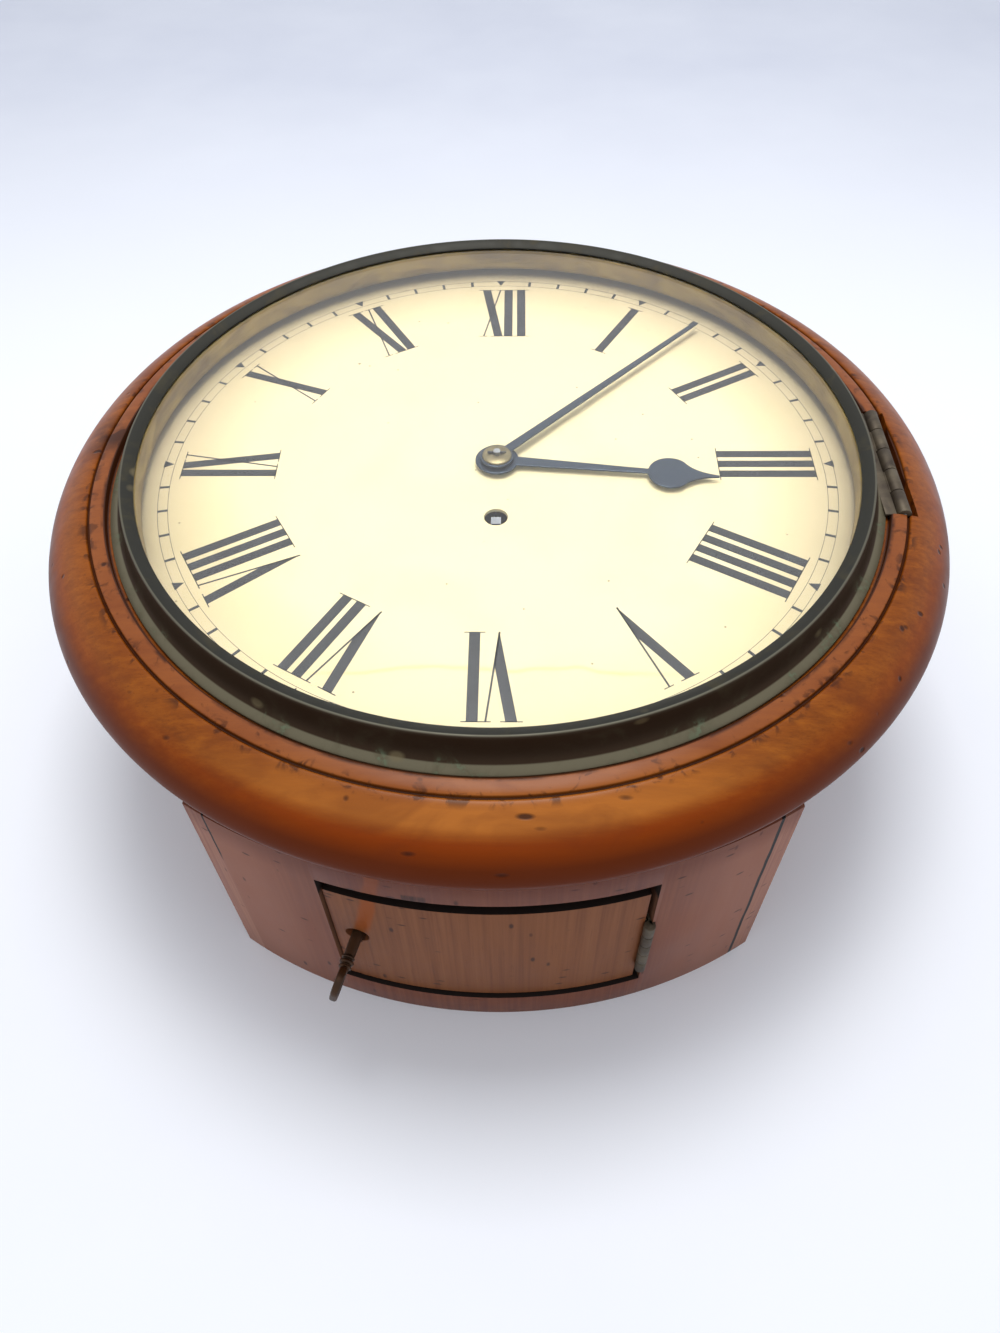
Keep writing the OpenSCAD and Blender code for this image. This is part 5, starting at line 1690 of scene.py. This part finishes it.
@dataclass
class Case:
    """Box behind the surround, with its curved bottom and the door in it."""

    depth: float = 120.0
    half: float = 112.7
    side: float = 8.2
    top: float = 115.0
    arc_r: float = 209.476
    arc_y: float = 20.276
    bottom: float = 10.0
    door_left: float = 64.0
    door_right: float = 61.0
    door_z: Pair = (17.0, 102.0)
    door_gaps: Pair = (0.9, 2.4)
    door_lift: float = 1.7
    opening_top: float = 105.7
    door_top: float = 95.8
    recess: float = 1.5
    key_left: float = 53.9
    key_up: float = 1.9
    keyhole: float = 5.0
    key_slot: Pair = (1.4, 6.4)
    peg: float = 3.52
    peg_y: Pair = (-75.0, 75.0)
    peg_z: float = 108.0
    hinge_in: float = 1.2
    hinge_r: float = 210.176
    hinge_z: Pair = (31.0, 73.0)
    notch: float = 2.6
    raw_z: Pair = (16.0, 107.0)

    def inner(self) -> float:
        """Half width between the sides."""
        return self.half - self.side

    def turned(self, angle: float) -> Matrix:
        """Frame round the bottom's centre whose -Y points out at an angle in degrees."""
        return Matrix.Translation((0, self.arc_y * MM, 0)) @ Matrix.Rotation(math.radians(angle), 4, "Z")

    def degrees(self, length: float) -> float:
        """Angle that spans a length along the outer curve."""
        return math.degrees(length / self.arc_r)

    def aim(self, across: float) -> float:
        """Angle at which the outer curve is so far from the middle, in degrees."""
        return math.degrees(math.asin(across / self.arc_r))

    def hinge_frame(self) -> Matrix:
        """Frame whose -Y points out through the door's hinge."""
        return self.turned(self.aim(self.door_right) - self.degrees(self.hinge_in))

    def key_frame(self) -> Matrix:
        """Frame whose -Y points out through the keyhole."""
        return self.turned(-self.aim(self.key_left))

    def key_z(self) -> float:
        """Height of the keyhole."""
        return sum(self.door_z) / 2 + self.key_up

    def sector(self, name: str, radii: Pair, angles: Pair, heights: Pair, steps: int = 96) -> Piece:
        """Sweep a rectangle along the curve of the bottom.

        Args:
            name: Name of the piece.
            radii: Inner and outer radius.
            angles: First and last angle from -Y, in degrees.
            heights: Lower and upper height.
            steps: Number of facets along the curve.

        Returns:
            The closed sector.
        """
        sin, cos = math.sin(math.radians(angles[1])), math.cos(math.radians(angles[1]))
        (near, far), (low, high) = radii, heights
        corners = [(near, low), (far, low), (far, high), (near, high), (near, low)]
        points = [Vector((r * sin, self.arc_y - r * cos, z)) * MM for r, z in corners]
        angle = math.radians(angles[1] - angles[0])
        return Bench.spin(name, points, steps, angle, (0, self.arc_y * MM, 0))

    @staticmethod
    def show_raw(piece: Piece, faces: Iterable[bpy.types.MeshPolygon]) -> None:
        """Give some faces of a finished piece the sawn edge's finish.

        Args:
            piece: The piece.
            faces: The faces.
        """
        piece.data.materials.append(RAW_EDGE.material())
        for face in faces:
            face.material_index = 1

    def in_opening(self, face: bpy.types.MeshPolygon) -> bool:
        """Tell whether a face of the bottom lies in the door's opening and looks into it.

        Args:
            face: The face.

        Returns:
            True where it does.
        """
        spot = face.center
        flat = Vector((face.normal.x, face.normal.y, 0))
        out = Vector((spot.x, spot.y - self.arc_y * MM, 0)).normalized()
        low, high = self.raw_z
        beside = abs(spot.x) < (self.door_left + 1) * MM
        return beside and flat.dot(out) < 0.5 and low * MM < spot.z < high * MM

    def boards(self) -> None:
        """Make the sides and the top."""
        inner, below, above = self.inner(), -5, self.depth + 5
        for sign, name in ((-1, "left"), (1, "right")):
            low, high = sorted((sign * inner, sign * self.half))
            board = Bench.block(f"{name}_board", (low, -175, 0), (high, self.top, self.depth))
            tool = Bench.rod("tool", self.arc_r, (0, self.arc_y, below), (0, self.arc_y, above), 360)
            Bench.cut(board, tool, Keep.INSIDE)
            for y in self.peg_y:
                ends = (low - 2, y, self.peg_z), (high + 2, y, self.peg_z)
                Bench.cut(board, Bench.rod("drill", self.peg, *ends, 32))
            Bench.soften(board, 0.45, 2, 60)
            Bench.fit(board, "case", SIDE_VENEER, "veneer", [f"case_side_{name}"])
        lid = Bench.block("top_board", (-inner, self.top - self.side, 0), (inner, self.top, self.depth))
        Bench.fit(Bench.soften(lid, 0.4, 2), "case", SIDE_VENEER, "veneer", ["case_top"])

    def front(self) -> None:
        """Make the curved bottom with its opening and the hinge's place."""
        inner, radii = self.inner(), (self.arc_r - self.bottom, self.arc_r)
        bottom = self.sector("curved_front", radii, (-33, 33), (0, self.depth), 132)
        room = Bench.block("room", (-inner, -200, -5), (inner, 0, self.depth + 5))
        Bench.cut(bottom, room, Keep.INSIDE)
        radii = (self.arc_r - self.bottom - 5, self.arc_r + 5)
        angles = (-self.aim(self.door_left), self.aim(self.door_right))
        heights = (self.door_z[0], self.opening_top)
        Bench.cut(bottom, self.sector("opening", radii, angles, heights, 48))
        hinge, out, (low, high) = self.hinge_frame(), -self.hinge_r, self.hinge_z
        notch = Bench.rod("notch", self.notch, (0, out, low - 0.3), (0, out, high + 0.3), 40)
        Bench.cut(bottom, Bench.place(notch, hinge))
        sink = Bench.block("sink", (-0.2, out, low), (1.2, out + 9.2, high))
        Bench.cut(bottom, Bench.place(sink, hinge))
        Bench.soften(bottom, 0.45, 2, 50)
        Bench.fit(bottom, "case", FRONT_VENEER, "veneer", ["curved_bottom"])
        self.show_raw(bottom, (face for face in bottom.data.polygons if self.in_opening(face)))

    def door(self) -> None:
        """Make the door with its keyhole."""
        left, right = (self.degrees(gap) for gap in self.door_gaps)
        angles = (-self.aim(self.door_left) + left, self.aim(self.door_right) - right)
        radii = (self.arc_r - self.bottom + 0.3, self.arc_r - self.recess)
        heights = (self.door_z[0] + self.door_lift, self.door_top)
        door = self.sector("curved_door", radii, angles, heights, 72)
        z, key, (half, drop) = self.key_z(), self.key_frame(), self.key_slot
        round_hole = Bench.rod("round_hole", self.keyhole, (0, -215, z), (0, -190, z), 40)
        Bench.cut(door, Bench.place(round_hole, key))
        slot = Bench.block("slot", (-half, -215, z - drop), (half, -190, z))
        Bench.cut(door, Bench.place(slot, key))
        Bench.soften(door, 0.5, 2, 50)
        Bench.fit(door, "door_group", DOOR_VENEER, "veneer", ["bottom_door"])
        self.show_raw(door, (face for face in door.data.polygons if abs(face.normal.z) > 0.9))

    def build(self) -> None:
        """Make the box and its door."""
        self.boards()
        self.front()
        self.door()


@dataclass
class DoorHinge(Hinge):
    """Small hinge at the door's right edge."""

    low: float = 31.0
    pitch: float = 8.4
    case: Case = field(default_factory=Case)
    radius: float = 2.25
    pin: float = 1.0
    leaf: Pair = (0.3, 1.2)
    leaf_y: Pair = (-207.6, -201.0)
    arm_y: float = -207.0

    def half(self, name: str, places: Sequence[int], sign: int) -> Piece:
        """One leaf with its knuckles, in its place.

        Args:
            name: Name of the piece.
            places: Places of its knuckles along the row.
            sign: Side of the leaf, -1 on the door and 1 on the jamb.

        Returns:
            The leaf.
        """
        out = -self.case.hinge_r
        near, far = sorted(sign * side for side in self.leaf)
        parts = []
        for start, end in self.ends(places):
            knuckle = Bench.rod("knuckle", self.radius, (0, out, start), (0, out, end), 32)
            parts.append(Bench.soften(knuckle, 0.35, 2))
            parts.append(Bench.block("arm", (near, out, start), (far, self.arm_y, end)))
        leaf = Bench.block("leaf", (near, self.leaf_y[0], self.low), (far, self.leaf_y[1], self.high()))
        parts.append(Bench.soften(leaf, 0.15, 1))
        return Bench.place(Bench.join(name, parts), self.case.hinge_frame())

    def build(self) -> None:
        """Make both leaves and the pin."""
        moving = self.half("door_hinge_leaf", self.moving, -1)
        Bench.fit(moving, "door_group", HINGE_BRASS, "dark_brass", ["door_leaf"])
        fixed = self.half("jamb_hinge_leaf", self.fixed, 1)
        Bench.fit(fixed, "case", HINGE_BRASS, "dark_brass", ["jamb_leaf"])
        out = -self.case.hinge_r
        pin = Bench.rod("door_pin", self.pin, (0, out, self.low), (0, out, self.high()), 24)
        Bench.place(pin, self.case.hinge_frame())
        Bench.fit(Bench.soften(pin, 0.25, 2), "case", HINGE_BRASS, "dark_brass", ["door_hinge_pin"])


@dataclass
class DoorKey:
    """Old key that stands in the door's lock."""

    case: Case
    inner_end: float = 194.28
    outer_end: float = 223.48
    stem: float = 1.9
    shank: float = 2.4
    neck: float = 1.9
    collars: tuple[Triple, ...] = ((7.8, 9.0, 0.75), (9.4, 11.2, 1.0), (11.6, 12.8, 0.75))
    twist: float = -13.0
    bow: Pair = (6.0, 8.0)
    bow_width: float = 2.4
    bow_thickness: float = 3.0
    bit_low: Triple = (-0.8, -5.4, 194.3)
    bit_high: Triple = (0.8, -1.5, 197.65)

    def stem_section(self) -> list[Pair]:
        """Draw the stem's section, with its collars.

        Returns:
            Its corners, as radius and length.
        """
        face, r, end = self.case.arc_r, self.neck, self.outer_end
        section = [(0.0, self.inner_end), (self.stem, self.inner_end), (self.stem, face - 8.0)]
        section += [(self.shank, face - 7.4), (self.shank - 0.15, face + 7.6)]
        for low, high, swell in self.collars:
            bead = arc((r, face + (low + high) / 2), (swell, (high - low) / 2), -90, 90, 8)
            section += [(r, face + low), *bead, (r, face + high)]
        return [*section, (r * 0.8, end + 1.2), (0.0, end + 1.6)]

    def ring(self, margin: float) -> list[Pair]:
        """Outline of the bow, drawn in by a margin."""
        r, reach = self.bow[0] - margin, self.bow[1] - self.bow[0]
        return [*arc((0, reach), (r, r), 0, 180, 24), *arc((0, -reach), (r, r), 180, 360, 24)]

    def build(self) -> None:
        """Make the stem with its collars, the bow and the bit."""
        stem = Bench.lathe("stem", self.stem_section(), 32, open_ends=True)
        thick, mid = self.bow_thickness / 2, self.outer_end + self.bow[0] - 1
        bow = Bench.plates("bow", [self.ring(0.0)], -thick, thick)
        Bench.cut(bow, Bench.plates("eye", [self.ring(self.bow_width)], -4, 4))
        Bench.soften(bow, 0.9, 3, 50)
        stand = Matrix(((0, 0, 1, 0), (0, 1, 0, 0), (1, 0, 0, mid * MM), (0, 0, 0, 1)))
        Bench.place(bow, Matrix.Rotation(math.radians(self.twist), 4, "Z") @ stand)
        bit = Bench.soften(Bench.block("bit", self.bit_low, self.bit_high), 0.2, 1)
        key = Bench.join("old_door_key", [stem, bow, bit])
        outward = Matrix(((1, 0, 0, 0), (0, 0, -1, 0), (0, 1, 0, self.case.key_z() * MM), (0, 0, 0, 1)))
        Bench.place(key, self.case.key_frame() @ outward)
        Bench.fit(key, "key_group", KEY_METAL, "iron", ["door_key"])


@dataclass
class Screws:
    """Slotted screws: four through the dial's edge and four in the hanging plate."""

    head: float = 3.0
    shaft: float = 1.5
    length: float = 7.5
    slot_width: float = 0.8
    dial_ring: float = 156.0
    plate_x: Pair = (-16.0, 16.0)
    plate_y: Pair = (56.0, 96.0)

    def model(self) -> Piece:
        """Model one screw, with its head's face at nought and its tip down.

        Returns:
            The screw.
        """
        head, shaft, tip, half = self.head, self.shaft, -self.length, self.slot_width / 2
        section = [(0, 0), (head - 0.1, 0), (head, -0.1), (shaft, -1.5), (shaft, tip + 2)]
        screw = Bench.lathe("screw", [*section, (0.3, tip), (0, tip)], 40, open_ends=True)
        return Bench.cut(screw, Bench.block("slot", (-5, -half, -0.8), (5, half, 1)))

    def build(self) -> None:
        """Model one screw and copy it to its eight places."""
        model = self.model()
        places = []
        for angle in (math.radians(45 + 90 * index) for index in range(4)):
            x, y = self.dial_ring * math.cos(angle), self.dial_ring * math.sin(angle)
            places.append(((x, y, FACE), Matrix.Rotation(angle * 1.7, 4, "Z")))
        spots = [(x, y, 0.0) for y in self.plate_y for x in self.plate_x]
        over = Matrix.Rotation(math.pi, 4, "X")
        for index, spot in enumerate(spots):
            places.append((spot, over @ Matrix.Rotation(0.9 * index, 4, "Z")))
        made = []
        for spot, turn in places:
            made.append(Bench.copy(model, Matrix.Translation([side * MM for side in spot]) @ turn))
        bpy.data.objects.remove(model, do_unlink=True)
        Bench.fit(Bench.join("slotted_screws", made), "case", BRIGHT_STEEL, "steel", ["wood_screws"])


@dataclass
class Pendulum:
    """Brass lens and its rod, seen through the open door."""

    z: float = 62.0
    bob_y: float = -142.8
    bob: float = 26.0
    bob_edge: float = 1.5
    thickness: float = 16.0
    bore: float = 1.62
    rod: float = 1.6
    rod_y: Pair = (-176.2, 45.0)
    head_low: Triple = (-3.0, 44.0, 58.0)
    head_high: Triple = (3.0, 54.0, 66.0)
    slit_low: Triple = (-0.17, 49.8, 58.98)
    slit_high: Triple = (0.17, 55.0, 65.02)

    def side(self) -> list[Pair]:
        """Draw the upper side of the bob's section.

        Returns:
            Its points from the middle out, as radius and height.
        """
        rise = self.thickness / 2 - self.bob_edge
        angles = [math.radians(a) for a in range(0, 91, 6)]
        return [(self.bob * math.sin(a), self.bob_edge + rise * math.cos(a) ** 2) for a in angles]

    def build(self) -> None:
        """Make the bob and the rod with its slit head."""
        side, y, z = self.side(), self.bob_y, self.z
        lens = [*side, *[(r, -up) for r, up in reversed(side)]]
        bob = Bench.lathe("brass_lens_bob", lens, 96, open_ends=True)
        Bench.place(bob, Matrix.Translation((0, y * MM, z * MM)))
        Bench.cut(bob, Bench.rod("drill", self.bore, (0, y - 30, z), (0, y + 30, z), 24))
        Bench.fit(bob, "pendulum_group", MOVEMENT_BRASS, "brass", ["pendulum_bob"])
        rod = Bench.rod("rod", self.rod, (0, self.rod_y[0], z), (0, self.rod_y[1], z), 24)
        head = Bench.block("head", self.head_low, self.head_high)
        slit = Bench.block("slit", self.slit_low, self.slit_high)
        Bench.cut(Bench.soften(head, 0.4, 2), slit)
        rod = Bench.join("pendulum_stem", [Bench.soften(rod, 0.3, 2), head])
        Bench.fit(rod, "pendulum_group", BRIGHT_STEEL, "steel", ["pendulum_rod"])


@dataclass(frozen=True)
class Inside:
    """Finishes of the nodes that are shown as they were packed."""

    finishes: tuple[tuple[Finish, str], ...] = (
        (PINE, "surround_blocks back_board"),
        (OLD_PINE, "door_stops"),
        (PEG_WOOD, "case_pegs"),
        (OLD_IRON, "hanging_plate"),
        (HINGE_BRASS, "lock_case"),
        (BLUED, "mainspring suspension_spring"),
        (GUT, "fusee_line"),
        (BRIGHT_STEEL, "lock_tongue taper_pins minute_post barrel_arbor setup_ratchet setup_click"),
        (BRIGHT_STEEL, "fusee_arbor centre_arbor pallets crutch"),
        (MOVEMENT_BRASS, "bezel_catch dial_feet cannon_wheel minute_wheel hour_wheel front_plate"),
        (MOVEMENT_BRASS, "back_plate plate_pillars spring_barrel great_wheel fusee centre_wheel"),
        (MOVEMENT_BRASS, "third_wheel escape_wheel back_cock rating_nut"),
    )

    def dress(self, nodes: dict[str, Piece]) -> None:
        """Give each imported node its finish.

        Args:
            nodes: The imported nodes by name.
        """
        for finish, names in self.finishes:
            for name in names.split():
                finish.dress(nodes[name])
                LOG.info("%s is dressed in %s", name, finish.name)


@dataclass
class Studio:
    """Floor, lamp, sky and camera."""

    camera_at: Triple = (9.02, -342.43, 435.78)
    pitch: float = 51.626
    yaw: float = -1.578
    roll: float = -1.09
    lens: float = 27.125
    sensor: float = 36.0
    clip: Pair = (0.01, 20.0)
    floor_size: float = 24000.0
    lamp_at: Triple = (10.0, 300.0, 1500.0)
    lamp_size: float = 0.6
    lamp_power: float = 11.5
    sky_colour: Colour = (0.93, 0.96, 1.0, 1.0)
    sky_low: float = 0.4
    sky_high: float = 0.93
    sky_rise: Pair = (0.42, 0.82)
    shown: tuple[str, ...] = ("Is Camera Ray", "Is Glossy Ray", "Is Transmission Ray")

    def camera(self) -> None:
        """Set the camera to the photograph's view."""
        yaw, pitch, roll = (math.radians(a) for a in (self.yaw, self.pitch, self.roll))
        level = math.cos(pitch)
        ahead = Vector((math.sin(yaw) * level, math.cos(yaw) * level, -math.sin(pitch)))
        right = Vector((math.cos(yaw), -math.sin(yaw), 0))
        up = right.cross(ahead)
        side = right * math.cos(roll) + up * math.sin(roll)
        top = up * math.cos(roll) - right * math.sin(roll)
        data = bpy.data.cameras.new("view")
        data.lens, data.sensor_width = self.lens, self.sensor
        data.clip_start, data.clip_end = self.clip
        eye = bpy.data.objects.new("view", data)
        bpy.context.scene.collection.objects.link(eye)
        turn = Matrix((side, top, -ahead)).transposed().to_4x4()
        eye.matrix_world = Matrix.Translation(Vector(self.camera_at) * MM) @ turn
        bpy.context.scene.camera = eye

    def floor(self) -> None:
        """Lay the flat floor that the clock lies on."""
        Bench.rest()
        bpy.ops.mesh.primitive_plane_add(size=self.floor_size * MM)
        ground = Bench.named("floor")
        FLOOR.dress(ground)

    def lamp(self) -> None:
        """Hang one large soft lamp that looks at the clock."""
        data = bpy.data.lights.new("soft_lamp", "AREA")
        data.shape, data.size, data.energy = "SQUARE", self.lamp_size, self.lamp_power
        lamp = bpy.data.objects.new("soft_lamp", data)
        bpy.context.scene.collection.objects.link(lamp)
        lamp.location = Vector(self.lamp_at) * MM
        lamp.rotation_mode = "QUATERNION"
        lamp.rotation_quaternion = (-lamp.location).to_track_quat("-Z", "Y")

    def sky(self) -> None:
        """Light the sky more from above than from the sides, and show it plain white."""
        world = bpy.data.worlds.new("sky")
        bpy.context.scene.world = world
        world.use_nodes = True
        s = Sheet(world.node_tree, "Generated")
        level = s.span(s.axis("Z"), *self.sky_rise, self.sky_low, self.sky_high)
        path = s.node("ShaderNodeLightPath")
        seen = s.most(*(path.outputs[ray] for ray in self.shown))
        strength = s.node("ShaderNodeMix", {0: seen, 2: level, 3: 1.0}, data_type="FLOAT").outputs[0]
        light = s.node("ShaderNodeBackground", {"Color": self.sky_colour, "Strength": strength})
        s.node("ShaderNodeOutputWorld", {"Surface": light.outputs[0]})
        bpy.context.scene.view_settings.view_transform = "Standard"

    def build(self) -> None:
        """Set up the studio."""
        self.camera()
        self.floor()
        self.lamp()
        self.sky()


def main() -> None:
    """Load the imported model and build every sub-assembly."""
    logging.basicConfig(level=logging.INFO, format="%(message)s")
    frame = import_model()
    case = Case()
    Studio().build()
    for part in (
        Surround(), Bezel(), BezelHinge(), Dial(), Hands(), case, DoorHinge(case=case), DoorKey(case),
        Screws(), Pendulum(),
    ):
        part.build()
    Inside().dress(frame["nodes"])


if __name__ == "__main__":
    main()
